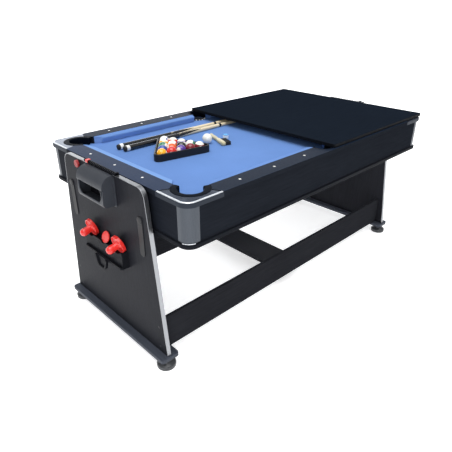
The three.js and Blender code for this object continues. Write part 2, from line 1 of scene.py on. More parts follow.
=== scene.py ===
"""Looks for the swivelling pool and air hockey table. Lengths in the making functions are millimetres."""
import math
import random

import bmesh
import bpy
from mathutils import Matrix, Vector

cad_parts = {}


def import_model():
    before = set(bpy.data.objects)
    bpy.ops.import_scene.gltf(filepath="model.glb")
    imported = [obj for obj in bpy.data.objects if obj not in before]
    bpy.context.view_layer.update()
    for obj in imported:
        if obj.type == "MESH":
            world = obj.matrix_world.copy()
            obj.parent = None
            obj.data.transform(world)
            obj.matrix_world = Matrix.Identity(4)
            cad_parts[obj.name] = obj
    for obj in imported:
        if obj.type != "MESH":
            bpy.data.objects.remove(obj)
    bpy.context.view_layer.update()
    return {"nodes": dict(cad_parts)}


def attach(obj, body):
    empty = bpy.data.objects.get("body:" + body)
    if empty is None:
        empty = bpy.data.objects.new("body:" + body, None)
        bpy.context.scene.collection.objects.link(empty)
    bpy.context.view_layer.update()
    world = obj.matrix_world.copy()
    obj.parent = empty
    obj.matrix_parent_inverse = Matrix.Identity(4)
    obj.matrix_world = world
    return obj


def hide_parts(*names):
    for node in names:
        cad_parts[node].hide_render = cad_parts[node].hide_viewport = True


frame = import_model()

# ---- sizes shared with the CAD part, in millimetres
MM = 0.001
END, SIDE, TOP = 915, 537, 845  # the rails' outer edges and top
RAIL_W = 90
OVERHANG = 8
APRON_X, APRON_Y, APRON_T = END - OVERHANG, SIDE - OVERHANG, 15
APRON_LOW, APRON_HIGH = 670.3, 824.7
POST_R, POST_LEG = 45, 59.7
BED = TOP - 36
ON_BED = BED + 0.3
CAST_OUT, CAST_IN, CAST_ROUND = 184, 148, 50
POCKET = (803, 428)
POCKET_DROP = 14.1  # a corner pocket's cup lies this far outwards of its collar, in x and in y
SIDE_POCKET_Y = 463
CORNER_FLANGE = 80
CORNER_BORE = CORNER_FLANGE + 0.4
JAW_BACK, JAW_SLOPE = 14, 1.03  # where a cushion ends, short of the casting, and how it slants
PANEL_IN, PANEL_OUT = 926, 945
PANEL_MID = (PANEL_IN + PANEL_OUT) / 2
ON_PANEL = -PANEL_OUT - 0.4  # where pieces fixed to the left panel start
PANEL_LOW, PANEL_HIGH = 69.5, 846
PANEL_HALF_LOW, PANEL_HALF_HIGH = 394, 313.5
COVER = (8, 911, 527, TOP + 0.3, TOP + 17.3)
BALL_R = 25.4
ENDS, SIDES = ("left", "right"), ("front", "rear")

# ---- camera, lights and floor
scene = bpy.context.scene
scene.view_settings.view_transform = "Standard"


def feed(tree, socket, value):
    """Sets a node's input to a number or a colour, or links another node's output to it."""
    if isinstance(value, (int, float, tuple)):
        socket.default_value = value
    else:
        tree.links.new(value, socket)


def camera():
    data = bpy.data.cameras.new("camera")
    data.sensor_width, data.lens = 36, 36.01
    data.clip_end = 400
    obj = bpy.data.objects.new("camera", data)
    scene.collection.objects.link(obj)
    obj.location = (-1.8116, -1.6619, 1.5097)
    obj.rotation_euler = (math.radians(62.523), 0, math.radians(-44.092))
    scene.camera = obj


def world():
    """A dim studio with one broad pale wall beyond the rear left corner, low down."""
    studio = bpy.data.worlds.new("studio")
    studio.use_nodes = True
    tree = studio.node_tree

    def node(kind, inputs, **props):
        n = tree.nodes.new(f"ShaderNode{kind}")
        for key, value in props.items():
            setattr(n, key, value)
        for index, value in inputs.items():
            feed(tree, n.inputs[index], value)
        return n.outputs["Value"] if "Value" in n.outputs else n.outputs[0]

    where = tree.nodes.new("ShaderNodeTexCoord").outputs["Generated"]
    split = tree.nodes.new("ShaderNodeSeparateXYZ")
    tree.links.new(where, split.inputs[0])
    height = split.outputs["Z"]
    smooth = {"interpolation_type": "SMOOTHSTEP"}
    toward = node("VectorMath", {0: where, 1: (0.36, 0.93, 0)}, operation="DOT_PRODUCT")
    across = node("MapRange", {0: toward, 1: 0.62, 2: 0.9}, **smooth)
    low = node("MapRange", {0: height, 1: 0.42, 2: 0.26}, **smooth)
    wall = node("Math", {0: across, 1: low}, operation="MULTIPLY")
    sky = node("MapRange", {0: height, 1: 0, 2: 0.9, 3: 0.25, 4: 0.6})
    level = node("Math", {0: wall, 1: 2.3, 2: sky}, operation="MULTIPLY_ADD")
    back = tree.nodes["Background"]
    tree.links.new(level, back.inputs["Strength"])
    back.inputs["Color"].default_value = (0.97, 0.985, 1, 1)
    scene.world = studio


def light(name, kind, place, target, **values):
    data = bpy.data.lights.new(name, kind)
    for key, value in values.items():
        setattr(data, key, value)
    obj = bpy.data.objects.new(name, data)
    scene.collection.objects.link(obj)
    obj.location = place
    obj.rotation_euler = (Vector(target) - obj.location).to_track_quat("-Z", "Y").to_euler()


# ---- materials
def lin(r, g, b):
    """An sRGB colour, 0 to 255, as linear RGBA."""
    conv = [(c / 255 / 12.92) if c <= 10.31 else ((c / 255 + 0.055) / 1.055) ** 2.4 for c in (r, g, b)]
    return (*conv, 1)


class Finish:
    """A Principled material and short helpers for the nodes that drive it."""

    def __init__(self, name, colour, rough, metal=0, **sockets):
        self.mat = bpy.data.materials.new(name)
        self.mat.use_nodes = True
        self.tree = self.mat.node_tree
        self.bsdf = self.tree.nodes["Principled BSDF"]
        self.set("Base Color", colour)
        self.set("Roughness", rough)
        self.set("Metallic", metal)
        for key, value in sockets.items():
            self.set(key.replace("_", " "), value)
        self.mat.diffuse_color = colour

    def set(self, socket, value):
        self.bsdf.inputs[socket].default_value = value

    def node(self, kind, **props):
        n = self.tree.nodes.new(kind)
        for key, value in props.items():
            setattr(n, key, value)
        return n

    def link(self, a, b):
        self.tree.links.new(a, b)

    def coords(self, scale=(1, 1, 1)):
        m = self.node("ShaderNodeMapping")
        m.inputs["Scale"].default_value = scale
        self.link(self.node("ShaderNodeTexCoord").outputs["Object"], m.inputs["Vector"])
        return m.outputs["Vector"]

    def noise(self, scale, detail=3, rough=0.5, vector=None, distort=0):
        n = self.node("ShaderNodeTexNoise")
        settings = {"Scale": scale, "Detail": detail, "Roughness": rough, "Distortion": distort}
        for key, value in settings.items():
            n.inputs[key].default_value = value
        self.link(vector or self.coords(), n.inputs["Vector"])
        return n.outputs["Fac"]

    def ramp(self, fac, stops):
        n = self.node("ShaderNodeValToRGB")
        elements = n.color_ramp.elements
        while len(elements) < len(stops):
            elements.new(0.5)
        for e, (at, colour) in zip(elements, stops):
            e.position, e.color = at, colour
        self.link(fac, n.inputs["Fac"])
        return n.outputs["Color"]

    def spread(self, fac, low, high):
        """The middle part of a noise, spread from low to high."""
        n = self.node("ShaderNodeMapRange")
        for socket, value in zip(n.inputs, (fac, 0.3, 0.7, low, high)):
            feed(self.tree, socket, value)
        return n.outputs["Result"]

    def math(self, op, a, b=0.5):
        n = self.node("ShaderNodeMath", operation=op)
        for socket, value in zip(n.inputs, (a, b)):
            feed(self.tree, socket, value)
        return n.outputs[0]

    def blend(self, a, b, share):
        """Two values added up: a by its share, b by the rest."""
        return self.math("ADD", self.math("MULTIPLY", a, share), self.math("MULTIPLY", b, 1 - share))

    def mix(self, fac, a, b):
        n = self.node("ShaderNodeMix", data_type="RGBA")
        for index, value in ((0, fac), (6, a), (7, b)):
            feed(self.tree, n.inputs[index], value)
        return n.outputs[2]

    def colour(self, socket):
        self.link(socket, self.bsdf.inputs["Base Color"])

    def tones(self, fac, colour, dark, light, at=(0.3, 0.7)):
        """The colour, darker where fac is low and lighter where it is high."""
        return self.ramp(fac, [(at[0], shade(colour, dark)), (at[1], shade(colour, light))])

    def roughness(self, socket):
        self.link(socket, self.bsdf.inputs["Roughness"])

    def bump(self, height, strength, distance):
        n = self.node("ShaderNodeBump")
        n.inputs["Strength"].default_value = strength
        n.inputs["Distance"].default_value = distance
        previous = self.bsdf.inputs["Normal"].links
        if previous:
            self.link(previous[0].from_socket, n.inputs["Normal"])
        self.link(height, n.inputs["Height"])
        self.link(n.outputs["Normal"], self.bsdf.inputs["Normal"])


def shade(c, k):
    return (min(c[0] * k, 1), min(c[1] * k, 1), min(c[2] * k, 1), 1)


def drawn(axis, much):
    """The scale that draws a texture out along an axis."""
    return tuple(1 if axis in (a, "all") else much for a in "xyz")


def laminate(name, colour, rough, grain="z", contrast=0.22, shine=0.09):
    """Printed wood-grain laminate: long fine streaks along the grain, with an embossed pore."""
    f = Finish(name, colour, rough, Specular_IOR_Level=shine)
    stretch = drawn(grain, 14)
    streak = f.noise(9, 6, 0.65, f.coords(stretch), 0.4)
    broad = f.noise(2.2, 2, 0.5)
    tone = f.blend(streak, broad, 0.75)
    f.colour(f.tones(tone, colour, 1 - contrast, 1 + contrast))
    pores = f.noise(60, 4, 0.6, f.coords(stretch))
    f.roughness(f.spread(pores, rough - 0.06, rough + 0.1))
    f.bump(pores, 0.12, 0.0006)
    return f.mat


def moulded(name, colour, rough, grain=900, strength=0.12, shine=0.5, coat=0, coat_rough=0.03):
    """Moulded plastic with a fine grain and a faint change of gloss."""
    f = Finish(name, colour, rough, Specular_IOR_Level=shine, Coat_Weight=coat, Coat_Roughness=coat_rough)
    f.colour(f.tones(f.noise(7, 2), colour, 0.92, 1.08))
    f.roughness(f.spread(f.noise(28, 3), rough - 0.05, rough + 0.07))
    f.bump(f.noise(grain, 2), strength, 0.0004)
    return f.mat


def metal(name, colour, rough, along="z", amount=1):
    """Drawn or brushed metal: very fine lines along one axis."""
    f = Finish(name, colour, rough, amount)
    lines = f.noise(22, 4, 0.6, f.coords(drawn(along, 60)))
    f.colour(f.tones(lines, colour, 0.88, 1.1, (0.25, 0.75)))
    f.roughness(f.spread(lines, rough - 0.05, rough + 0.08))
    f.bump(lines, 0.05, 0.0003)
    return f.mat


def cloth(name, colour):
    """Napped billiard cloth: a fine weave under short fuzz, a little uneven in tone."""
    f = Finish(name, colour, 0.92, Sheen_Weight=0.25, Sheen_Roughness=0.5, Specular_IOR_Level=0.2)
    f.set("Sheen Tint", shade(colour, 1.6))
    patch = f.noise(3.5, 3, 0.55)
    fuzz = f.noise(420, 3, 0.7)
    tone = f.blend(patch, fuzz, 0.5)
    f.colour(f.tones(tone, colour, 0.9, 1.1, (0.32, 0.68)))
    warp = f.node("ShaderNodeTexWave", bands_direction="X")
    weft = f.node("ShaderNodeTexWave", bands_direction="Y")
    for thread in (warp, weft):
        for key, value in (("Vector", f.coords()), ("Scale", 260), ("Distortion", 1.5), ("Detail", 1)):
            feed(f.tree, thread.inputs[key], value)
    weave = f.math("MULTIPLY", warp.outputs["Fac"], weft.outputs["Fac"])
    f.bump(weave, 0.15, 0.0004)
    f.bump(fuzz, 0.35, 0.0006)
    return f.mat


def timber(name, colour, rough, along="x", contrast=0.25):
    """Lacquered wood with rings and pores drawn out along the grain."""
    f = Finish(name, colour, rough, Coat_Weight=0.4, Coat_Roughness=0.12)
    streak = f.noise(14, 5, 0.6, f.coords(drawn(along, 18)), 0.8)
    f.colour(f.tones(streak, colour, 1 - contrast, 1 + contrast * 0.6, (0.25, 0.75)))
    f.roughness(f.spread(streak, rough - 0.05, rough + 0.1))
    f.bump(streak, 0.05, 0.0003)
    return f.mat


def finishes(make, **rows):
    """One material for each row: its name, its sRGB colour and what else its making function takes."""
    return {key: make(name, lin(*rgb), *rest) for key, (name, rgb, *rest) in rows.items()}


M = {
    **finishes(
        laminate,
        board=("black_laminate", (34, 35, 40), 0.42, "z", 0.22, 0.04),
        board_x=("black_laminate_long", (38, 39, 43), 0.42, "x", 0.2, 0),
        apron_x=("apron_laminate_long", (30, 33, 39), 0.4, "x", 0.2, 0),
        apron_y=("apron_laminate_across", (27, 30, 37), 0.4, "y", 0.2, 0.01),
        beam=("beam_laminate", (62, 66, 75), 0.42, "y"),
        # shaded and lit copies of one rail laminate: the long rails' copy darker, painted shade; the end
        # rails' copy lighter, painted light
        rail_x=("rail_laminate_long", (24, 34, 50), 0.42, "x", 0.12, 0.03),
        rail_y=("rail_laminate_across", (37, 50, 74), 0.42, "y", 0.12, 0.04),
        cover=("cover_laminate", (24, 30, 39), 0.6, "x", 0.14, 0),
        ring=("hockey_ring_laminate", (24, 26, 31), 0.42, "x", 0.2, 0.02),
    ),
    **finishes(
        moulded,
        foot=("foot_plastic", (50, 52, 56), 0.34, 900, 0.06),
        cover_edge=("cover_edge_band", (18, 20, 24), 0.5, 900, 0.12, 0.03),
        plastic=("black_plastic", (30, 32, 37), 0.42, 900, 0.12, 0.25),
        lip=("casting_lip_plastic", (42, 47, 56), 0.4, 900, 0.12, 0.08),
        hood=("hood_plastic", (54, 57, 63), 0.36, 900, 0.03, 0.12),
        gloss=("gloss_black_plastic", (26, 27, 31), 0.28, 1200, 0.03, 0.02),
        liner=("pocket_liner", (11, 16, 25), 0.4, 1200, 0.03, 0.01),
        dark=("pocket_inside", (64, 72, 84), 0.7),
        red=("red_plastic", (222, 44, 38), 0.3, 1200, 0.05, 0.5, 0.3, 0.15),
        white=("white_inlay", (238, 238, 235), 0.35, 1200, 0.03),
        # the clamp knob: a darker copy of the red plastic, painted shade
        knob=("clamp_red_plastic", (150, 34, 38), 0.4, 1200, 0.05),
        lacquer=("black_lacquer", (20, 20, 22), 0.18, 1500, 0.02, 0.5, 0.6, 0.08),
        slim=("panel_cover_plastic", (30, 31, 34), 0.45, 900, 0.1, 0.2),
        rubber=("rubber_bumper", (26, 26, 27), 0.7),
        blue_tip=("cue_tip_leather", (88, 112, 150), 0.85, 700, 0.4),
        bristle=("bristles", (28, 30, 34), 0.8, 400, 0.6),
        chalk=("blue_chalk", (110, 178, 236), 0.95, 300, 0.6),
        chalk_wrap=("chalk_wrap", (236, 244, 250), 0.5, 500, 0.2),
    ),
    **finishes(
        metal,
        trim=("silver_edge_trim", (152, 154, 158), 0.3, "z"),
        post=("silver_corner", (74, 78, 84), 0.28, "z"),
        chrome=("chrome_plate", (232, 236, 242), 0.2, "all", 0.5),
        steel=("zinc_steel", (150, 152, 155), 0.36, "all"),
        plate=("corner_plate_top", (56, 68, 88), 0.14, "all"),
    ),
    **finishes(
        cloth,
        cloth=("blue_cloth", (97, 132, 190)),
        # the end cushions' cloth: a lighter copy of the blue cloth, painted light
        cloth_end=("blue_cloth_end", (114, 150, 205)),
        # the cushions' faces under the nose: a brighter copy of the blue cloth, painted light in their shade
        cloth_nose=("blue_cloth_nose", (122, 156, 210)),
    ),
    **finishes(
        timber,
        maple=("maple_shaft", (232, 216, 182), 0.3, "x", 0.14),
        brush_wood=("brush_wood", (196, 186, 148), 0.45, "y"),
    ),
}


# ---- mesh helpers
def polar(r, a):
    return r * math.cos(a), r * math.sin(a)


def arc(cx, cy, r, start, stop, n):
    """Points on an arc, angles in degrees."""
    offsets = [polar(r, math.radians(start + (stop - start) * i / n)) for i in range(n + 1)]
    return [(cx + x, cy + y) for x, y in offsets]


def rounded(points, radii, n=6):
    """A closed outline with its corners rounded. radii is one number or one for each corner."""
    out = []
    count = len(points)
    for i, p in enumerate(points):
        r = radii if isinstance(radii, (int, float)) else radii[i]
        here = Vector(p)
        a, b = Vector(points[i - 1]) - here, Vector(points[(i + 1) % count]) - here
        half = a.angle(b) / 2 if a.length and b.length else math.pi / 2
        if r <= 0 or half > math.pi / 2 - 1e-3:
            out.append(tuple(p))
            continue
        reach = min(r / math.tan(half), a.length * 0.49, b.length * 0.49)
        radius = reach * math.tan(half)
        a.normalize()
        b.normalize()
        centre = here + (a + b).normalized() * (radius / math.sin(half))
        start, stop = here + a * reach - centre, here + b * reach - centre
        a0 = math.atan2(start.y, start.x)
        sweep = (math.atan2(stop.y, stop.x) - a0 + math.pi) % (2 * math.pi) - math.pi
        for k in range(n + 1):
            t = a0 + sweep * k / n
            out.append((centre.x + radius * math.cos(t), centre.y + radius * math.sin(t)))
    return out


def both_sides(half):
    """Half an outline, joined to its mirror image across the second axis."""
    return half + [(-a, b) for a, b in reversed(half)]


def corners(x0, x1, y0, y1):
    return [(x0, y0), (x1, y0), (x1, y1), (x0, y1)]


def rectangle(x, y, radius, n):
    """A rounded rectangle round the origin, from its half sides."""
    return rounded(corners(-x, x, -y, y), radius, n)


def to_axis(axis, a, b, h):
    """(y, z) outlines run along x, (x, z) outlines along y, (x, y) outlines along z."""
    return {"x": (h, a, b), "y": (a, h, b), "z": (a, b, h)}[axis]


def outward(bm):
    bmesh.ops.recalc_face_normals(bm, faces=bm.faces)
    return bm


def skin(bm, rows, closed=True):
    """Quads between neighbouring rows of vertices. In a closed row the last vertex meets the first."""
    faces = []
    for low, high in zip(rows, rows[1:]):
        for i in range(len(low) if closed else len(low) - 1):
            j = (i + 1) % len(low)
            faces.append(bm.faces.new((low[i], low[j], high[j], high[i])))
    return faces


def loft(rows, caps=True):
    """A skin through closed rows of points, with or without a flat face on the first and the last."""
    bm = bmesh.new()
    rows = [[bm.verts.new(point) for point in row] for row in rows]
    if caps:
        bm.faces.new(rows[0])
        bm.faces.new(rows[-1])
    skin(bm, rows)
    return outward(bm)


def extruded(outline, axis, low, high):
    return loft([[to_axis(axis, a, b, h) for a, b in outline] for h in (low, high)])


def block(x0, x1, y0, y1, z0, z1):
    return extruded(corners(x0, x1, y0, y1), "z", z0, z1)


def lathed(profile, segments=48, closed=False):
    """(radius, height) turned round z. An open profile starts and ends on the axis."""
    bm = bmesh.new()
    rows = []
    for r, h in profile:
        if r < 1e-6:
            rows.append([bm.verts.new((0, 0, h))])
        else:
            rows.append([bm.verts.new((*polar(r, 2 * math.pi * i / segments), h)) for i in range(segments)])
    pairs = list(zip(rows, rows[1:])) + ([(rows[-1], rows[0])] if closed else [])
    for low, high in pairs:
        for i in range(segments):
            j = (i + 1) % segments
            loop = [low[i % len(low)], low[j % len(low)], high[j % len(high)], high[i % len(high)]]
            unique = list(dict.fromkeys(loop))
            if len(unique) > 2:
                bm.faces.new(unique)
    return outward(bm)


def moved(bm, matrix):
    bmesh.ops.transform(bm, matrix=matrix, verts=bm.verts)
    if matrix.to_3x3().determinant() < 0:
        bmesh.ops.reverse_faces(bm, faces=bm.faces)
    return bm


def shifted(bm, x=0, y=0, z=0):
    return moved(bm, Matrix.Translation((x, y, z)))


def offset(x=0, y=0, z=0):
    return Matrix.Translation((x, y, z))


def spun(degrees, axis):
    return Matrix.Rotation(math.radians(degrees), 4, axis)


def facing(axis):
    """Turns local +z to point along an axis such as -x."""
    target = Vector([float(a == axis[-1]) for a in "xyz"]) * (-1 if axis[0] == "-" else 1)
    return Vector((0, 0, 1)).rotation_difference(target).to_matrix().to_4x4()


def turned(end):
    """A piece of the left end, turned half round z for the right end."""
    return spun(180, "Z") if end == "right" else Matrix()


def mirrored(side):
    """A piece of the front side, mirrored for the rear side."""
    return Matrix.Scale(-1, 4, (0, 1, 0)) if side == "rear" else Matrix()


def merged(*parts):
    """Several pieces as one. A part is a bmesh, or a material number for its faces and a bmesh."""
    out = bmesh.new()
    for part in parts:
        index, bm = part if isinstance(part, tuple) else (0, part)
        for f in bm.faces:
            f.material_index = index if index is not None else f.material_index
        me = bpy.data.meshes.new("part")
        bm.to_mesh(me)
        out.from_mesh(me)
        bpy.data.meshes.remove(me)
        bm.free()
    return out


def bevelled(bm, width, segments=2, angle=30):
    sharp = [e for e in bm.edges if len(e.link_faces) == 2 and e.calc_face_angle(0) > math.radians(angle)]
    bmesh.ops.bevel(bm, geom=sharp, offset=width, segments=segments, profile=0.5, affect="EDGES",
                    clamp_overlap=True, material=-1)
    return bm


def carve(bm, *cutters):
    """bm with each cutter taken away."""
    target = mesh_object("carve_target", bm)
    for cutter in cutters:
        tool = mesh_object("carve_tool", cutter)
        mod = target.modifiers.new("cut", "BOOLEAN")
        mod.operation, mod.solver, mod.object = "DIFFERENCE", "EXACT", tool
        graph = bpy.context.evaluated_depsgraph_get()
        me = bpy.data.meshes.new_from_object(target.evaluated_get(graph))
        target.modifiers.clear()
        target.data = me
        bpy.data.objects.remove(tool)
    out = bmesh.new()
    out.from_mesh(target.data)
    bpy.data.objects.remove(target)
    bmesh.ops.remove_doubles(out, verts=out.verts, dist=0.01)
    bmesh.ops.dissolve_limit(out, angle_limit=math.radians(0.5), verts=out.verts, edges=out.edges)
    return out


def mesh_object(name, bm):
    me = bpy.data.meshes.new(name)
    bm.to_mesh(me)
    bm.free()
    obj = bpy.data.objects.new(name, me)
    scene.collection.objects.link(obj)
    return obj


def piece(name, bm, mats, body, node=None, place=None, smooth=38):
    """A finished piece: millimetres to metres, smooth shading, its materials, the body that it rides on."""
    if place is not None:
        moved(bm, place)
    bmesh.ops.scale(bm, vec=(MM, MM, MM), verts=bm.verts)
    obj = mesh_object(name, bm)
    mats = mats if isinstance(mats, list) else [mats]
    for key in mats:
        obj.data.materials.append(M[key] if isinstance(key, str) else key)
    obj.data.shade_smooth()
    obj.data.set_sharp_from_angle(angle=math.radians(smooth))
    obj.modifiers.new("weights", "WEIGHTED_NORMAL").keep_sharp = True
    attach(obj, body)
    if node:
        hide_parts(node)
    return obj


def for_corners():
    for side in SIDES:
        for end in ENDS:
            flip = Matrix.Scale(-1, 4, (1, 0, 0)) if end == "right" else Matrix()
            yield side, end, mirrored(side) @ flip


def screw_cap(r=6, h=1):
    """A low domed cap, its face towards +z."""
    return lathed([(0, -1), (r, -1), (r, h * 0.4), (r * 0.8, h * 0.85), (r * 0.35, h), (0, h)], 20)


# ---- stand
def panel_outline(grow, n=12):
    """The end panel in (y, z), grown outwards by a margin."""
    low, high = PANEL_LOW, PANEL_HIGH + grow
    slope = (PANEL_HALF_LOW - PANEL_HALF_HIGH) / (PANEL_HIGH - PANEL_LOW)
    foot = PANEL_HALF_LOW + grow
    shoulder = foot - slope * (high - low)
    notch, step = 110 - grow, 800 + grow
    outline = both_sides([(foot, low), (shoulder, high), (notch, high), (notch, step)])
    r = 45 + grow
    return rounded(outline, [0, r, 2, 3, 3, 2, r, 0], n)


def stand_end(end):
    place = turned(end)
    board = extruded(panel_outline(-0.2), "x", -PANEL_OUT, -PANEL_IN)
    piece(f"panel_board_{end}", bevelled(board, 0.5, 1), "board", "stand", f"leg_panel_{end}", place)

    band = extruded(panel_outline(3), "x", -PANEL_OUT - 0.2, -PANEL_IN + 0.2)
    inside = extruded(panel_outline(0.05), "x", -PANEL_OUT - 2, -PANEL_IN + 2)
    band = carve(band, inside)
    piece(f"edge_trim_{end}", bevelled(band, 0.7, 2, 50), "trim", "stand", f"panel_trim_{end}", place)

    plan = rounded(corners(-982, -886, -407, 407), 16, 8)
    beam = bevelled(extruded(plan, "z", 49.2, 69.2), 2.5, 3)
    piece(f"floor_beam_{end}", beam, "beam", "stand", f"base_beam_{end}", place)

    spots = [(y, z) for y in (-348, 348) for z in (99, 208)]
    caps = [moved(screw_cap(), offset(-PANEL_OUT, y, z) @ facing("-x")) for y, z in spots]
    piece(f"screw_caps_{end}", merged(*caps), "plastic", "stand", None, place)


def levelling_foot(side, end, place):
    profile = [(0, 0), (40, 0), (43.2, 1.2), (44, 4), (44, 17), (43, 20), (40.5, 22), (37, 24), (30, 30),
               (27, 33), (25, 38), (24, 42), (22, 43.2), (22, 47.5), (20.5, 48.7), (6, 48.7),
               (6, 65.5), (0, 65.5)]
    foot = shifted(lathed(profile, 56), -936, -370)
    piece(f"foot_{side}_{end}", foot, "foot", f"foot_{side}_{end}", f"levelling_foot_{side}_{end}", place)


def stretchers():
    for side in SIDES:
        bm = bevelled(block(-925.7, 925.7, -347.4, -329.4, 69.8, 236), 1.2, 3)
        piece(f"stretcher_board_{side}", bm, "board_x", "stand", f"stretcher_{side}", mirrored(side))
    bm = bevelled(block(-93, 93, -329.1, 329.1, 92, 108), 1.2, 3)
    piece("shelf_board", bm, "board", "stand", "cross_board")


# ---- cabinet
def aprons():
    def board(reach, face):
        return bevelled(block(-reach, reach, -face, -face + APRON_T, APRON_LOW, APRON_HIGH), 0.8, 2)

    for side in SIDES:
        piece(f"long_apron_{side}", board(APRON_X - 60, APRON_Y), "apron_x", "cabinet", f"apron_{side}",
              mirrored(side))
    for end, quarter in zip(ENDS, (-90, 90)):
        piece(f"end_apron_{end}", board(APRON_Y - 60, APRON_X), "apron_y", "cabinet", f"apron_{end}",
              spun(quarter, "Z"))


def corner_post(side, end, place):
    x0, y0 = -APRON_X, -APRON_Y
    middle = (x0 + POST_R, y0 + POST_R)
    outer = [(x0, y0 + POST_LEG), *arc(*middle, POST_R, 180, 270, 16), (x0 + POST_LEG, y0)]
    inner = [(x0 + POST_LEG, y0 + APRON_T), *arc(*middle, POST_R - APRON_T, 270, 180, 12),
             (x0 + APRON_T, y0 + POST_LEG)]
    bm = bevelled(extruded(outer + inner, "z", APRON_LOW, APRON_HIGH), 0.8, 2, 50)
    piece(f"corner_skin_{side}_{end}", bm, "post", "cabinet", f"corner_post_{side}_{end}", place)
    shoe = arc(*middle, POST_R + 3.6, 192, 258, 20) + arc(*middle, POST_R + 0.2, 258, 192, 20)
    shoe = bevelled(extruded(shoe, "z", APRON_LOW - 0.1, APRON_LOW + 3.3), 1.1, 3, 50)
    piece(f"post_shoe_{side}_{end}", shoe, "chrome", "cabinet", None, place)


def cast_reach(d):
    """How far along a rail the casting reaches from the corner, at a distance d from the rail's edge."""
    return CAST_OUT + (CAST_IN - CAST_OUT) * d / RAIL_W


def casting_outline(inset):
    """The corner casting's plan, front left: round outside corner, slanted ends, a bite for the pocket."""
    x0, y0 = -END + inset, -SIDE + inset
    cx, cy = -POCKET[0], -POCKET[1]
    d = inset
    while math.hypot(-END + cast_reach(d) - cx, -SIDE + d - cy) > CORNER_BORE:
        d += 0.05
    bite = ((-END + cast_reach(d), -SIDE + d), (-END + d, -SIDE + cast_reach(d)))
    start, stop = (math.degrees(math.atan2(y - cy, x - cx)) % 360 for x, y in bite)
    outer = [(x0, -SIDE + cast_reach(inset)),
             *arc(-END + CAST_ROUND, -SIDE + CAST_ROUND, CAST_ROUND - inset, 180, 270, 14),
             (-END + cast_reach(inset), y0)]
    return outer + arc(cx, cy, CORNER_BORE, start, stop, 22), len(outer)


def corner_casting(side, end, place):
    """The moulded corner: a dark plate with a plated bead set in from its edge, over a short skirt. At the
    right end the bead takes the dim plate metal: painted shade.
    """
    low, ledge_z, plate_z = 823, 825, 843.6
    # inset from the outside edge, height, material number
    steps = [(0, low, 0), (0, 837.5, 0), (0.4, 839.6, 0), (1.3, 841.2, 0), (2.6, 842, 0), (3.2, 842.1, 1),
             (3.7, 843.3, 1), (4.8, 844.4, 1), (6.4, 845, 1), (8.2, 845, 1), (9.6, 844.6, 1),
             (10.4, 843.8, 1), (10.8, plate_z, 2)]
    bm = bmesh.new()
    rings = []
    for inset, z, material in steps:
        outline, count = casting_outline(inset)
        rings.append([bm.verts.new((x, y, z)) for x, y in outline[:count]])
        for f in skin(bm, rings[-2:], False):
            f.material_index = material
    tail, low_tail = [[bm.verts.new((x, y, z)) for x, y in outline[count:]] for z in (plate_z, ledge_z)]
    bm.faces.new(rings[-1] + tail).material_index = 2
    skin(bm, (tail, low_tail), False)
    skirt = [bm.verts.new((x, y, low)) for x, y in casting_outline(7.6)[0][:count]]
    ledge = [bm.verts.new((v.co.x, v.co.y, ledge_z)) for v in skirt]
    skin(bm, (ledge, skirt, rings[0]), False)
    bm.faces.new(list(reversed(ledge)) + list(reversed(low_tail)))
    for column, corner in ((-1, 0), (0, -1)):
        wall = [ring[column] for ring in rings]
        bm.faces.new(wall + [tail[corner], low_tail[corner], ledge[column], skirt[column]])
    # The right-end beads take the dim plate metal in place of chrome: painted shade; the left beads keep the
    # chrome
    bead = "chrome" if end == "left" else "plate"
    piece(f"corner_plate_{side}_{end}", outward(bm), ["lip", bead, "plate"], "cabinet",
          f"corner_casting_{side}_{end}", place, 50)


def open_ring(inner, outer, flange, half_mouth, centre_angle, base, segments=40):
    """A pocket collar: a thick rounded lip and a wall, open over the mouth. Angles in degrees, round z."""
    profile = [(inner + 0.4, base), (inner, TOP - 9), (inner + 0.6, TOP - 3.5), (inner + 2.6, TOP - 0.6),
               (inner + 5, TOP), (flange - 3, TOP - 0.1), (flange - 0.8, TOP - 0.9), (flange, TOP - 2.9),
               (outer, TOP - 3), (outer, base)]
    sweep = 360 - 2 * half_mouth
    angles = [math.radians(centre_angle + half_mouth + sweep * k / segments) for k in range(segments + 1)]
    return loft([[(*polar(r, a), z) for r, z in profile] for a in angles])


def cup(inner, outer):
    """A pocket's drop-in cup, under the bed's cloth."""
    floor, top = 715, BED - 1.5
    profile = [(0, floor), (outer - 5, floor), (outer, floor + 5), (outer, top), (inner, top),
               (inner, floor + 8), (inner - 6, floor + 2.5), (0, floor + 2.5)]
    return lathed(profile, 40)


def corner_pocket(side, end, place):
    ring = open_ring(52, 63.7, CORNER_FLANGE, 61, 45, BED + 0.4)
    back = open_ring(52.2, 63.6, 64, 100, 45, BED - 6)
    bm = merged(ring, (1, shifted(cup(41, 44), -POCKET_DROP, -POCKET_DROP)), back)
    shifted(bm, -POCKET[0], -POCKET[1])
    piece(f"pocket_{side}_{end}", bm, ["liner", "dark"], "cabinet", f"corner_pocket_{side}_{end}", place, 50)


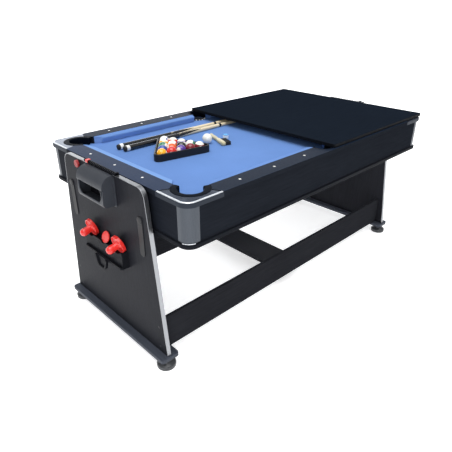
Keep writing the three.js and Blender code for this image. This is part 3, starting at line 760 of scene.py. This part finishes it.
def side_pocket(side):
    """A collar, a cup, and a half-round mouth on the bed with five white studs."""
    ring = open_ring(43, 45.8, 56.8, 68, 90, BED + 0.4)
    section = [(43, 0.3), (43, 1.4), (44, 2.2), (48.4, 2.2), (49.6, 1.2), (49.6, 0.3)]
    mouth = lathed([(r, BED + h) for r, h in section], 56, closed=True)
    bmesh.ops.bisect_plane(mouth, geom=mouth.verts[:] + mouth.edges[:] + mouth.faces[:], plane_co=(0, 12, 0),
                           plane_no=(0, -1, 0), clear_outer=True)
    bmesh.ops.holes_fill(mouth, edges=[e for e in mouth.edges if e.is_boundary])
    studs = []
    for k in range(5):
        a = math.radians(42 + k * 24)
        head = lathed([(0, -0.5), (4, -0.5), (4, 0.8), (2.8, 2.2), (0, 2.8)], 14)
        studs.append((2, shifted(head, *polar(46, a), BED + 2.2)))
    bm = shifted(merged(ring, mouth, (1, cup(43, 45.8)), *studs), 0, -SIDE_POCKET_Y)
    piece(f"middle_pocket_{side}", bm, ["liner", "dark", "white"], "cabinet", f"side_pocket_{side}",
          mirrored(side), 50)


RAIL_BOARD = [(23.3, 825), (0.6, 825), (0, 825.8), (0, 843.2), (0.5, 844.5), (1.8, 845), (89.6, 845),
              (90, 844.6), (90, BED + 0.4), (23.3, BED + 0.4)]
CUSHION = [(90.1, 844.2), (92.5, 844.6), (101, 843.9), (112, 842.2), (121, 840.2), (124.2, 838.6),
           (125, 836.4), (124.6, 833.6), (123.2, 830.6), (120.4, 824), (117.6, 817), (115, BED + 0.4),
           (90.1, BED + 0.4)]


def strip(section, axis, outside, cuts):
    """A rail section along x or y. cuts(d) gives its two ends at a distance d from the outside edge."""
    ends = [[(cuts(d)[which], outside + d, z) for d, z in section] for which in (0, 1)]
    return loft([[(a, b, z) if axis == "x" else (b, a, z) for a, b, z in end] for end in ends])


def board_ends(half):
    """Where a rail's board on a side of this half length meets the castings, for strip()."""
    def ends(d):
        reach = half - cast_reach(d) - 0.4
        return -reach, reach
    return ends


def pocket_bore(r, x=-POCKET[0], y=-POCKET[1]):
    return shifted(lathed([(0, 700), (r, 700), (r, 860), (0, 860)], 72), x, y)


def rail_board(name, board, finishes, end_or_side, place):
    """The rail's upright faces take the second finish."""
    for f in board.faces:
        f.material_index = 0 if f.normal.z > 0.5 else 1
    piece(name, board, finishes, "cabinet", f"rail_{end_or_side}", place, 30)


def cushion_end(half, d):
    """How far a cushion reaches from the middle of a side of this half length."""
    return half - CAST_OUT - JAW_BACK - (d - RAIL_W) * JAW_SLOPE


def cushion(name, bm, finish, place):
    """Its end edges rounded, with a brighter copy of the cloth on the faces that look down, below its nose:
    painted light in the shade there.
    """
    around_ends = [e for e in bm.edges
                   if len(e.link_faces) == 2 and any(len(f.verts) > 6 for f in e.link_faces)]
    bmesh.ops.bevel(bm, geom=around_ends, offset=0.8, segments=2, affect="EDGES", clamp_overlap=True)
    bm.normal_update()
    for f in bm.faces:
        f.material_index = 1 if f.normal.z < 0 else 0
    piece(name, bm, [finish, "cloth_nose"], "cabinet", None, place, 60)


def long_rail(side):
    def jaws(sign):
        def ends(d):
            near, far = 53 + (d - RAIL_W) * 0.38, cushion_end(END, d)
            return (-far, -near) if sign < 0 else (near, far)
        return ends

    place = mirrored(side)
    board = carve(strip(RAIL_BOARD, "x", -SIDE, board_ends(END)), pocket_bore(CORNER_BORE),
                  pocket_bore(CORNER_BORE, x=POCKET[0]), pocket_bore(57.1, x=0, y=-SIDE_POCKET_Y))
    rail_board(f"long_rail_{side}", board, ["rail_x", "apron_x"], side, place)
    halves = merged(*[strip(CUSHION, "x", -SIDE, jaws(sign)) for sign in (-1, 1)])
    cushion(f"long_cushions_{side}", halves, "cloth", place)


def end_rail(end):
    def jaws(d):
        reach = cushion_end(SIDE, d)
        return -reach, reach

    place = turned(end)
    board = carve(strip(RAIL_BOARD, "y", -END, board_ends(SIDE)), pocket_bore(CORNER_BORE),
                  pocket_bore(CORNER_BORE, y=POCKET[1]))
    rail_board(f"end_rail_{end}", board, ["rail_y", "apron_y"], end, place)
    cushion(f"end_cushion_{end}", strip(CUSHION, "y", -END, jaws), "cloth_end", place)


def rail_sights():
    spots = [(x, y) for y in (-206, 0, 206) for x in (-869, 869)]
    spots += [(x, y) for x in (-600, -390, -180, 180, 390, 600) for y in (-491, 491)]
    profile = [(0, -1.2), (5.5, -1.2), (5.5, 0.1), (5, 0.35), (0, 0.45)]
    dots = [shifted(lathed(profile, 28), x, y, TOP) for x, y in spots]
    piece("rail_sights", merged(*dots), "white", "cabinet", smooth=40)


def pool_bed():
    board = extruded(rectangle(891.5, 513.5, 32, 6), "z", BED - 18, BED)
    holes = [pocket_bore(46.2, x=0, y=s * SIDE_POCKET_Y) for s in (-1, 1)]
    cup_x, cup_y = POCKET[0] + POCKET_DROP, POCKET[1] + POCKET_DROP
    holes += [pocket_bore(44.2, x=sx * cup_x, y=sy * cup_y) for sx in (-1, 1) for sy in (-1, 1)]
    board = bevelled(carve(board, *holes), 1.5, 2, 60)
    piece("cloth_bed", board, "cloth", "cabinet", "pool_bed", smooth=40)


# ---- hockey side
def hockey_field_finish():
    """White laminate with rows of small air holes, each painted as a dark dot of painted shade, with plain
    markings.
    """
    f = Finish("hockey_field", lin(236, 238, 240), 0.22, Specular_IOR_Level=0.5)
    sep = f.node("ShaderNodeSeparateXYZ")
    f.link(f.node("ShaderNodeTexCoord").outputs["Object"], sep.inputs[0])
    x, y = sep.outputs["X"], sep.outputs["Y"]

    def near(value, at, half):
        return f.math("LESS_THAN", f.math("ABSOLUTE", f.math("SUBTRACT", value, at), 0), half)

    def length(a, b):
        return f.math("SQRT", f.math("ADD", f.math("MULTIPLY", a, a), f.math("MULTIPLY", b, b)), 0)

    def ring(cx, r, half):
        return near(length(f.math("SUBTRACT", x, cx), y), r, half)

    def repeated(value, half_pitch=0.0125):
        wrapped = f.math("WRAP", value, half_pitch)
        wrapped.node.inputs[2].default_value = -half_pitch
        return wrapped

    # each air hole is a dark dot: painted shade, with no hole cut
    hole_shade = f.math("LESS_THAN", length(repeated(x), repeated(y)), 0.0011)
    blue = f.math("MAXIMUM", near(x, -0.42, 0.004), near(x, 0.42, 0.004))
    red = f.math("MAXIMUM", near(x, 0, 0.005), ring(0, 0.13, 0.003))
    crease = f.math("MAXIMUM", ring(-0.84, 0.2, 0.003), ring(0.84, 0.2, 0.003))
    tone = f.ramp(f.noise(5, 2), [(0.3, lin(230, 232, 235)), (0.7, lin(242, 243, 244))])
    marked = f.mix(blue, tone, lin(38, 70, 160))
    marked = f.mix(f.math("MAXIMUM", red, crease), marked, lin(196, 36, 36))
    f.colour(f.mix(hole_shade, marked, lin(28, 28, 30)))
    return f.mat


def hockey_side():
    """The ring of hockey rails: a lip under the aprons, a taller part inside them, rounded outer edges."""
    low, lip, top = 652, 670, 678
    x, y = END - 75, SIDE - 75
    levels = [(4, low), (1.2, low + 0.6), (0.2, low + 2.2), (0, low + 4), (0, lip - 3),
              (0.3, lip - 1.4), (1.4, lip - 0.3), (3.5, lip)]
    lower = loft([[(*point, z) for point in rectangle(END - inset, SIDE - inset, 50 - inset, 12)]
                  for inset, z in levels])

    def field():
        return extruded(rectangle(x, y, 1, 2), "z", low - 5, top + 5)

    goals = block(-END - 5, END + 5, -140, 140, low + 4, lip)
    upper = extruded(rectangle(END - 23.3, SIDE - 23.3, 32, 12), "z", lip + 0.05, top)
    ring = merged(carve(lower, field(), goals), carve(upper, field()))
    piece("hockey_ring", ring, "ring", "cabinet", "hockey_rails", smooth=40)
    bed = block(-x + 0.3, x - 0.3, -y + 0.3, y - 0.3, lip, top)
    piece("hockey_field_board", bed, hockey_field_finish(), "cabinet", "hockey_bed")


# ---- things on the stand
def goal_box(end):
    """A round hood over a tray with a wide window, its flange flat on the panel."""
    out = ON_PANEL - 56.8
    half, top, low = 104.8, 845.8, 711.2

    def section(inset, back):
        return [(back, top - inset), *arc(out + 50, top - 50, 50 - inset, 90, 180, 16),
                (out + inset, 793 + inset), (out + inset + 3.5, 788 + inset * 0.5), (out + inset + 3.5, 778),
                (out + inset, 752), (out + inset, low + 16), (out + 5 + inset, low + 5 + inset),
                (out + 16, low + inset), (back, low + inset)]

    def window(grow, x0, x1):
        outline = both_sides([(-90 - grow, 788 + grow), (-90 - grow, 751 - grow), (-74 - grow, 732 - grow)])
        return extruded(rounded(outline, 4, 4), "x", x0, x1)

    hollow = extruded(section(4, ON_PANEL + 5), "y", -half + 4, half - 4)
    shell = carve(extruded(section(0, ON_PANEL), "y", -half, half), hollow, window(0, out - 5, out + 16))
    lip = rounded(both_sides([(-97, 787), (-97, 748), (-79, 725)]), 4, 4)
    lip = extruded(lip, "x", out - 0.1, out + 6)
    lip = bevelled(carve(lip, window(1.5, out - 6, out + 20)), 1, 2, 40)
    flange = both_sides([(-110, 705.2), (-117, 714), (-117, 838), (-104, 838), (-104, 708)])
    flange = rounded(flange, [4, 4, 2, 0, 0, 0, 0, 2, 4, 4], 3)
    flange = bevelled(extruded(flange, "x", ON_PANEL - 2.9, ON_PANEL), 0.8, 2, 40)
    piece(f"goal_hood_{end}", merged(bevelled(shell, 1.3, 3, 40), lip, flange), "hood", "stand",
          f"goal_box_{end}", turned(end), 45)


def scorer(end):
    """A strip with a row of counting beads on a wire, and a pointer that hooks over it."""
    place = turned(end)
    mid, low, half = -PANEL_MID, 849.3, 10.5
    wire_at = (mid - 3, low + 5.6)

    def bar(half_width, height, radius, n, y0, y1):
        outline = corners(mid - half_width, mid + half_width, low, low + height)
        return extruded(rounded(outline, radius, n), "y", y0, y1)

    caps = [bevelled(bar(half - 0.1, 11, 3, 4, y, y + 8), 1, 2, 40) for y in (-125, 117)]
    bead = [(0, 0), (3.2, 0), (4.8, 0.8), (5.2, 2), (5.2, 4.6), (4.8, 5.8), (3.2, 6.6), (0, 6.6)]

    def on_wire(profile, segments, y):
        return moved(lathed(profile, segments), offset(wire_at[0], y, wire_at[1]) @ facing("y"))

    beads = [on_wire(bead, 14, -110 + k * 12.4) for k in range(17)]
    wire = on_wire([(0, 0), (2.4, 0), (2.4, 236), (0, 236)], 12, -118)
    strip_parts = merged(bar(half, 5, 1.5, 3, -125, 125), (1, wire), *caps, *beads)
    piece(f"score_rail_{end}", strip_parts, ["gloss", "steel"], "stand", f"scorer_strip_{end}", place)

    edge = mid - half
    hook = [(edge - 3.2, 850), (edge - 0.4, 850), (edge - 0.4, 860.7), (edge + 15.8, 860.7),
            (edge + 15.8, 863), (edge - 3.2, 863)]
    pointer = extruded(rounded(hook, [0.8, 0.3, 0.3, 0.8, 1, 2], 3), "y", 90.2, 105.8)
    rib = bevelled(block(edge - 1, edge + 12, 96.6, 99.4, 862.4, 862.95), 0.2, 1)
    piece(f"score_pointer_{end}", merged(bevelled(pointer, 0.6, 2, 50), rib),
          "red" if end == "left" else "gloss", f"score_{end}", f"scorer_slider_{end}", place)


def clamp(end):
    """A knob with five lobes on a plain stud."""
    segments, lobes, radius, start = 60, 5, 18, -PANEL_OUT - 4.6
    # share of the radius, height along -x
    steps = [(0, -10), (0.4, -10.2), (0.55, -11.3), (0.8, -11.2), (0.95, -9.6), (1, -7.5), (1, -2.2),
             (0.95, -0.5), (0.88, 0), (0, 0)]

    def edge(share, a):
        lobe = 1 - 0.09 * (0.5 + 0.5 * math.cos(lobes * a)) if share > 0.5 else 1
        return polar(radius * share * lobe, a)

    angles = [2 * math.pi * i / segments for i in range(segments)]
    bm = loft([[(start + h, *edge(share, a)) for a in angles] for share, h in steps], False)
    bmesh.ops.remove_doubles(bm, verts=bm.verts, dist=0.01)
    stud = lathed([(0, -34.2), (4.4, -34.2), (4.9, -33.2), (4.9, 1), (0, 1)], 24)
    bm = merged(outward(bm), (1, moved(stud, offset(start, 0, -9) @ facing("-x"))))
    piece(f"clamp_{end}_grip", shifted(bm, 0, 180, 826), ["knob", "steel"], f"clamp_{end}",
          f"clamp_knob_{end}", turned(end), 40)


def holder():
    """A slotted block with arches for the pushers, over a lipped shelf and a hanging tongue."""
    front, deep = ON_PANEL - 33.8, ON_PANEL - 44.8
    base, crest = 431.2, 511.8
    arches = [(-154.8, base), (154.8, base), (154.8, 503), (150, crest), *arc(108, 536, 36, 318, 222, 10),
              (66, crest), (40, crest), *arc(2, 525.8, 24, 322, 218, 8), (-36, crest), (-66, crest),
              *arc(-116, 536, 36, 318, 222, 10), (-150, crest), (-154.8, 503)]
    body = extruded([(y, min(z, crest)) for y, z in arches], "x", front, ON_PANEL)
    slot = block(ON_PANEL - 30.8, ON_PANEL + 5, -149.8, 149.8, 498, 530)
    body = bevelled(carve(body, slot), 1, 2, 35)
    plan = rounded([(deep, -148), (front + 1, -159.6), (front + 1, 159.6), (deep, 148)], [6, 0, 0, 6], 4)
    shelf = bevelled(extruded(plan, "z", base, 437), 0.8, 2, 50)
    lip = both_sides([(-148, deep), (-159.6, deep + 11), (-156, deep + 11), (-146, deep + 2.6)])
    lip = rounded([(x, y) for y, x in lip], [5, 0, 0, 4, 4, 0, 0, 5], 4)
    lip = bevelled(extruded(lip, "z", 435, 441.8), 0.8, 2, 50)
    tongue = both_sides([(52, 438.8), (44, 412), (36, 392), (24, 380.2)])
    tongue = rounded(tongue, [4, 10, 10, 10, 10, 10, 10, 4], 5)
    tongue = extruded(tongue, "x", ON_PANEL - 56.8, ON_PANEL - 44)
    scoop = rounded(both_sides([(40, 446), (32, 412), (26, 398), (18, 388.5)]), 8, 4)
    scoop = extruded(scoop, "x", ON_PANEL - 60, ON_PANEL - 49)
    tongue = bevelled(carve(tongue, scoop), 1.2, 2, 35)
    bm = shifted(merged(body, shelf, lip, tongue), 0, -6)
    piece("pusher_tray", bm, "gloss", "stand", "pusher_holder", smooth=40)


def pusher(name, y):
    """A mallet: a deep round skirt with a hollow top, and a round-ended knob on a fillet."""
    profile = [(0, -3), (34, -3), (37, -4), (38.2, -7.4), (39, -8), (41, -8), (42, -7), (42, 6), (41.6, 7.4),
               (40.6, 8), (39.2, 7.6), (38.4, 6.4), (37.6, 2.5), (35.5, 1), (30, 0.6), (24, 1.2), (20, 3.4),
               (17.6, 7), (16.8, 12), (16.6, 22), (17.2, 30), (18.2, 38), (18.6, 44), (17.8, 50), (15.2, 55.2),
               (11, 59.2), (6, 61.4), (0, 62)]
    place = offset(-PANEL_OUT - 20.5, y, 540) @ spun(-16, "Y") @ facing("-x")
    piece(f"{name}_body", lathed(profile, 72), "red", name, name, place, 50)


def puck():
    half = [(0, 2.3), (20, 2.3), (21, 3), (26.5, 3), (27.6, 2.2), (28, 0.9)]
    profile = [(r, -h) for r, h in half] + half[::-1]
    place = offset(-959.5, -4, 525.8) @ spun(22, "Y") @ facing("-x")
    piece("puck_disc", lathed(profile, 56), "red", "puck", "puck", place, 35)


def side_strips():
    """Two slim moulded covers on the left panel, each with a round boss at its top."""
    parts = []
    for y in (-279, 279):
        slim = rounded(corners(y - 17, y + 17, 538, 722), 16.5, 8)
        parts.append(bevelled(extruded(slim, "x", -PANEL_OUT - 3.5, -PANEL_OUT), 1.5, 3, 35))
        boss = lathed([(0, -1), (17, -1), (17, 3.5), (15, 6), (9, 6.8), (0, 7)], 32)
        parts.append(moved(boss, offset(-PANEL_OUT, y, 704.5) @ facing("-x")))
    piece("panel_covers", merged(*parts), "slim", "stand", smooth=40)


def repaint(node, key):
    """A CAD piece that stays as it is, with a better finish."""
    materials = frame["nodes"][node].data.materials
    materials.clear()
    materials.append(M[key])


# ---- loose things
def cover_board():
    x0, x1, y, z0, z1 = COVER
    board = extruded(rounded(corners(x0, x1, -y, y), 8, 5), "z", z0, z1)
    board = bevelled(board, 1.6, 3, 40)
    for f in board.faces:
        f.material_index = 0 if f.normal.z > 0.9 else 1
    piece("cover_top", board, ["cover", "cover_edge"], "cover", "cover_board_right", smooth=45)


POINT_LENGTH = 165  # the black points of a cue's forearm


def along_cue(butt, tip):
    start, stop = Vector((*butt, ON_BED + 14)), Vector((*tip, ON_BED + 6))
    return offset(*start) @ Vector((0, 0, 1)).rotation_difference(stop - start).to_matrix().to_4x4()


def cue(name, butt, tip, black_end, joint):
    """Rubber bumper, white butt cap, black butt, maple forearm, joint and shaft, ferrule and tip."""
    length, butt_r, tip_r = 1220, 14, 6

    def radius(t):
        return butt_r - (butt_r - tip_r) * (t / (length - 3))

    zones = [(0, "rubber"), (12, "white"), (30, "lacquer"), (black_end, "maple"), (joint, "lacquer"),
             (joint + 16, "maple"), (length - 20, "white"), (length - 5, "blue_tip")]
    profile = [(0, 0), (9.5, 0), (12.2, 1.5), (13.2, 4), (13.4, 12)]
    for t in [12.4] + [start for start, _ in zones[2:-1]]:
        profile += [(radius(t), t), (radius(t + 0.15), t + 0.15)]
    profile += [(6, length - 5), (5.6, length - 2), (4.2, length - 0.4), (0, length)]
    bm = lathed(profile, 40)
    keys = ["rubber", "white", "lacquer", "maple", "blue_tip"]
    for f in bm.faces:
        t = f.calc_center_median().z
        f.material_index = keys.index([key for start, key in zones if start <= t][-1])
    points = []
    for middle in (45, 225):
        point = bmesh.new()
        rows = []
        for k in range(7):
            t = k / 6
            r = radius(black_end + POINT_LENGTH * t) + 0.12
            half = math.radians(72) * (1 - t) + 0.002
            angles = [math.radians(middle) + half * u / 4 for u in range(-4, 5)]
            z = black_end - 1 + POINT_LENGTH * t
            rows.append([point.verts.new((*polar(r, a), z)) for a in angles])
        skin(point, rows, False)
        points.append((2, point))
    piece(f"{name}_stick", merged((None, bm), *points), keys, name, name, along_cue(butt, tip), 50)


ROW = 2 * BALL_R * math.sin(math.pi / 3)
RACK_AT = offset(-504, 43, ON_BED) @ spun(19.6, "Z")


def ball_finish(name, colour, striped):
    """Polished resin. The stripe and the number spot are drawn by where a point lies on the ball."""
    white = lin(243, 240, 230)
    f = Finish(name, colour, 0.06, Coat_Weight=0.5, Coat_Roughness=0.03)
    where = f.node("ShaderNodeAttribute", attribute_name="ball_place")
    sep = f.node("ShaderNodeSeparateXYZ")
    f.link(where.outputs["Vector"], sep.inputs[0])
    tone = f.tones(f.noise(30, 2), colour, 0.94, 1.05)
    if striped:
        band = f.math("LESS_THAN", f.math("ABSOLUTE", sep.outputs["Z"], 0), 0.55)
        tone = f.mix(band, white, tone)
    spot = f.math("GREATER_THAN", f.math("ABSOLUTE", sep.outputs["X"], 0), 0.9)
    f.colour(f.mix(spot, tone, white))
    f.roughness(f.spread(f.noise(60, 2), 0.05, 0.11))
    return f.mat


def ball_mesh(spin):
    """A ball round the origin that remembers its own directions, so that its stripe can be turned."""
    bm = bmesh.new()
    bmesh.ops.create_icosphere(bm, subdivisions=4, radius=BALL_R)
    layer = bm.verts.layers.float_vector.new("ball_place")
    for v in bm.verts:
        v[layer] = v.co / BALL_R
    return moved(bm, spin)


BALL_COLOURS = {
    "yellow": (245, 176, 30), "blue": (38, 70, 158), "red": (214, 40, 32), "purple": (84, 48, 150),
    "orange": (236, 96, 32), "green": (24, 120, 86), "maroon": (128, 24, 40), "black": (20, 20, 22),
}
BALL_ORDER = ("yellow red blue purple orange green maroon black orange_s yellow_s maroon_s green_s "
              "purple_s red_s blue_s").split()


def balls():
    """The fifteen balls in the rack, the apex first, then each row from its front end to its rear end."""
    rnd = random.Random(7)
    places = [((row - 8 / 3) * ROW, (i - row / 2) * 2 * BALL_R) for row in range(5) for i in range(row + 1)]
    for index, (key, (x, y)) in enumerate(zip(BALL_ORDER, places)):
        striped = key.endswith("_s")
        lean = 0.45 if striped else 0.9
        spin = Matrix.Rotation(rnd.uniform(0, 6.28), 4, "Z")
        spin = spin @ Matrix.Rotation(rnd.uniform(-lean, lean), 4, "X")
        spin = spin @ Matrix.Rotation(rnd.uniform(-0.6, 0.6), 4, "Y")
        bm = shifted(ball_mesh(spin), x, y, BALL_R)
        finish = ball_finish(f"ball_{key}", lin(*BALL_COLOURS[key.removesuffix("_s")]), striped)
        piece(f"ball_{index + 1}", bm, finish, "rack", None, RACK_AT, 60)
    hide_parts("racked_balls")


def cue_ball():
    f = Finish("cue_ball_resin", lin(246, 243, 233), 0.06, Coat_Weight=0.5, Coat_Roughness=0.03)
    f.colour(f.ramp(f.noise(14, 2), [(0.3, lin(243, 239, 228)), (0.7, lin(249, 247, 240))]))
    bm = shifted(ball_mesh(Matrix()), -297, 40, ON_BED + BALL_R)
    piece("white_ball", bm, f.mat, "cue_ball", "cue_ball", smooth=60)


def rack_frame():
    def triangle(inradius, r):
        out = []
        for a in (180, 300, 420):
            out += arc(*polar(2 * (inradius - r), math.radians(a)), r, a - 60, a + 60, 12)
        return out

    # share of the way from the outside to the inside, height
    levels = [(0, 0), (0, 30), (0.12, 33.5), (0.3, 35.5), (0.55, 36), (0.8, 35.2), (1, 33), (1, 0)]
    pairs = list(zip(triangle(95.5, 25), triangle(86, 15.5)))
    bm = bmesh.new()
    rings = [[bm.verts.new((a[0] + (b[0] - a[0]) * t, a[1] + (b[1] - a[1]) * t, z)) for a, b in pairs]
             for t, z in levels]
    skin(bm, rings + rings[:1])
    piece("triangle", outward(bm), "plastic", "rack", "ball_rack", RACK_AT, 45)


def table_brush():
    """A turned handle that runs into a squarer head, with rows of tufts on the head's side."""
    around = 28
    # y, half width, half height
    stations = [(110, 3, 3), (108.5, 6.5, 6.5), (104, 9, 8.5), (96, 10, 9.2), (80, 8.6, 8.4), (62, 9.6, 9.2),
                (45, 11, 9.8), (26, 9, 9), (12, 8.4, 8.8), (2, 10.5, 9.6), (-6, 12, 9.8), (-40, 12.6, 9.9),
                (-70, 12, 9.8), (-77, 9, 8.6), (-79.5, 5, 5), (-80, 2, 2)]
    rows = []
    for y, w, h in stations:
        row = []
        for i in range(around):
            c, s = polar(1, 2 * math.pi * i / around)
            squarer = (abs(c) ** 3 + abs(s) ** 3) ** (-1 / 3) if y < 5 else 1
            row.append((w * c * squarer, y, 10 + h * s * squarer))
        rows.append(row)
    rnd = random.Random(3)
    tufts = []
    for i in range(13):
        for k in range(4):
            tuft = lathed([(0, 9), (1.9, 9), (2.1, 25), (2.5, 39 + rnd.uniform(-1.2, 0.6)), (0, 39.4)], 9)
            lean = Matrix.Rotation(rnd.uniform(-0.05, 0.05), 4, "Z")
            lean = lean @ Matrix.Rotation(rnd.uniform(-0.03, 0.03), 4, "Y")
            tufts.append((1, moved(tuft, offset(0, -73 + i * 5.4, 3.4 + k * 4.4) @ lean @ facing("x"))))
    piece("cloth_brush", merged(loft(rows), *tufts), ["brush_wood", "bristle"], "brush", "table_brush",
          offset(-239, 18, ON_BED) @ spun(-20.7, "Z"), 45)


def chalk_cube():
    wrap = bevelled(block(-11, 11, -11, 11, 0, 17.5), 0.8, 2)
    dimple = shifted(lathed([(0, 0), (7.5, 3.2), (7.5, 8), (0, 8)], 28), 0, 0, 19.2)
    chalk = carve(bevelled(block(-10.8, 10.8, -10.8, 10.8, 17.3, 22), 0.9, 2), dimple)
    place = offset(-167, 38, BED + 0.2) @ spun(-17, "Z")
    piece("chalk", merged(wrap, (1, chalk)), ["chalk_wrap", "chalk"], "cabinet", None, place, 40)


# ---- putting it together
camera()
world()
light("key", "SUN", (-0.1, -0.1, 1), (0, 0, 0), energy=2.7, angle=math.radians(60))
light("fill", "AREA", (-3, -2.8, 1.7), (-0.6, -0.4, 0.6), energy=30, size=1.6)

floor = mesh_object("floor", block(-200, 200, -200, 200, -0.05, 0))
paint = Finish("floor_paint", (0.86, 0.86, 0.86, 1), 0.75)
paint.set("Emission Color", (1, 1, 1, 1))
paint.set("Emission Strength", 0.6)
paint.colour(paint.ramp(paint.noise(0.6, 2), [(0.2, (0.85, 0.85, 0.85, 1)), (0.8, (0.88, 0.88, 0.88, 1))]))
floor.data.materials.append(paint.mat)

for end_name in ENDS:
    stand_end(end_name)
    goal_box(end_name)
    scorer(end_name)
    clamp(end_name)
    end_rail(end_name)
    repaint(f"pivot_axle_{end_name}", "steel")
for side_name in SIDES:
    long_rail(side_name)
    side_pocket(side_name)
for side_name, end_name, corner_place in for_corners():
    levelling_foot(side_name, end_name, corner_place)
    corner_post(side_name, end_name, corner_place)
    corner_casting(side_name, end_name, corner_place)
    corner_pocket(side_name, end_name, corner_place)
stretchers()
aprons()
rail_sights()
pool_bed()
hockey_side()
holder()
pusher("pusher_front", -122)
pusher("pusher_rear", 102)
puck()
side_strips()
cover_board()
cue("cue_rear", (-692, 265), (528, 286), 335, 655)
cue("cue_front", (-684, 219), (536, 242), 345, 645)
rack_frame()
balls()
cue_ball()
table_brush()
chalk_cube()
repaint("air_blower", "plastic")
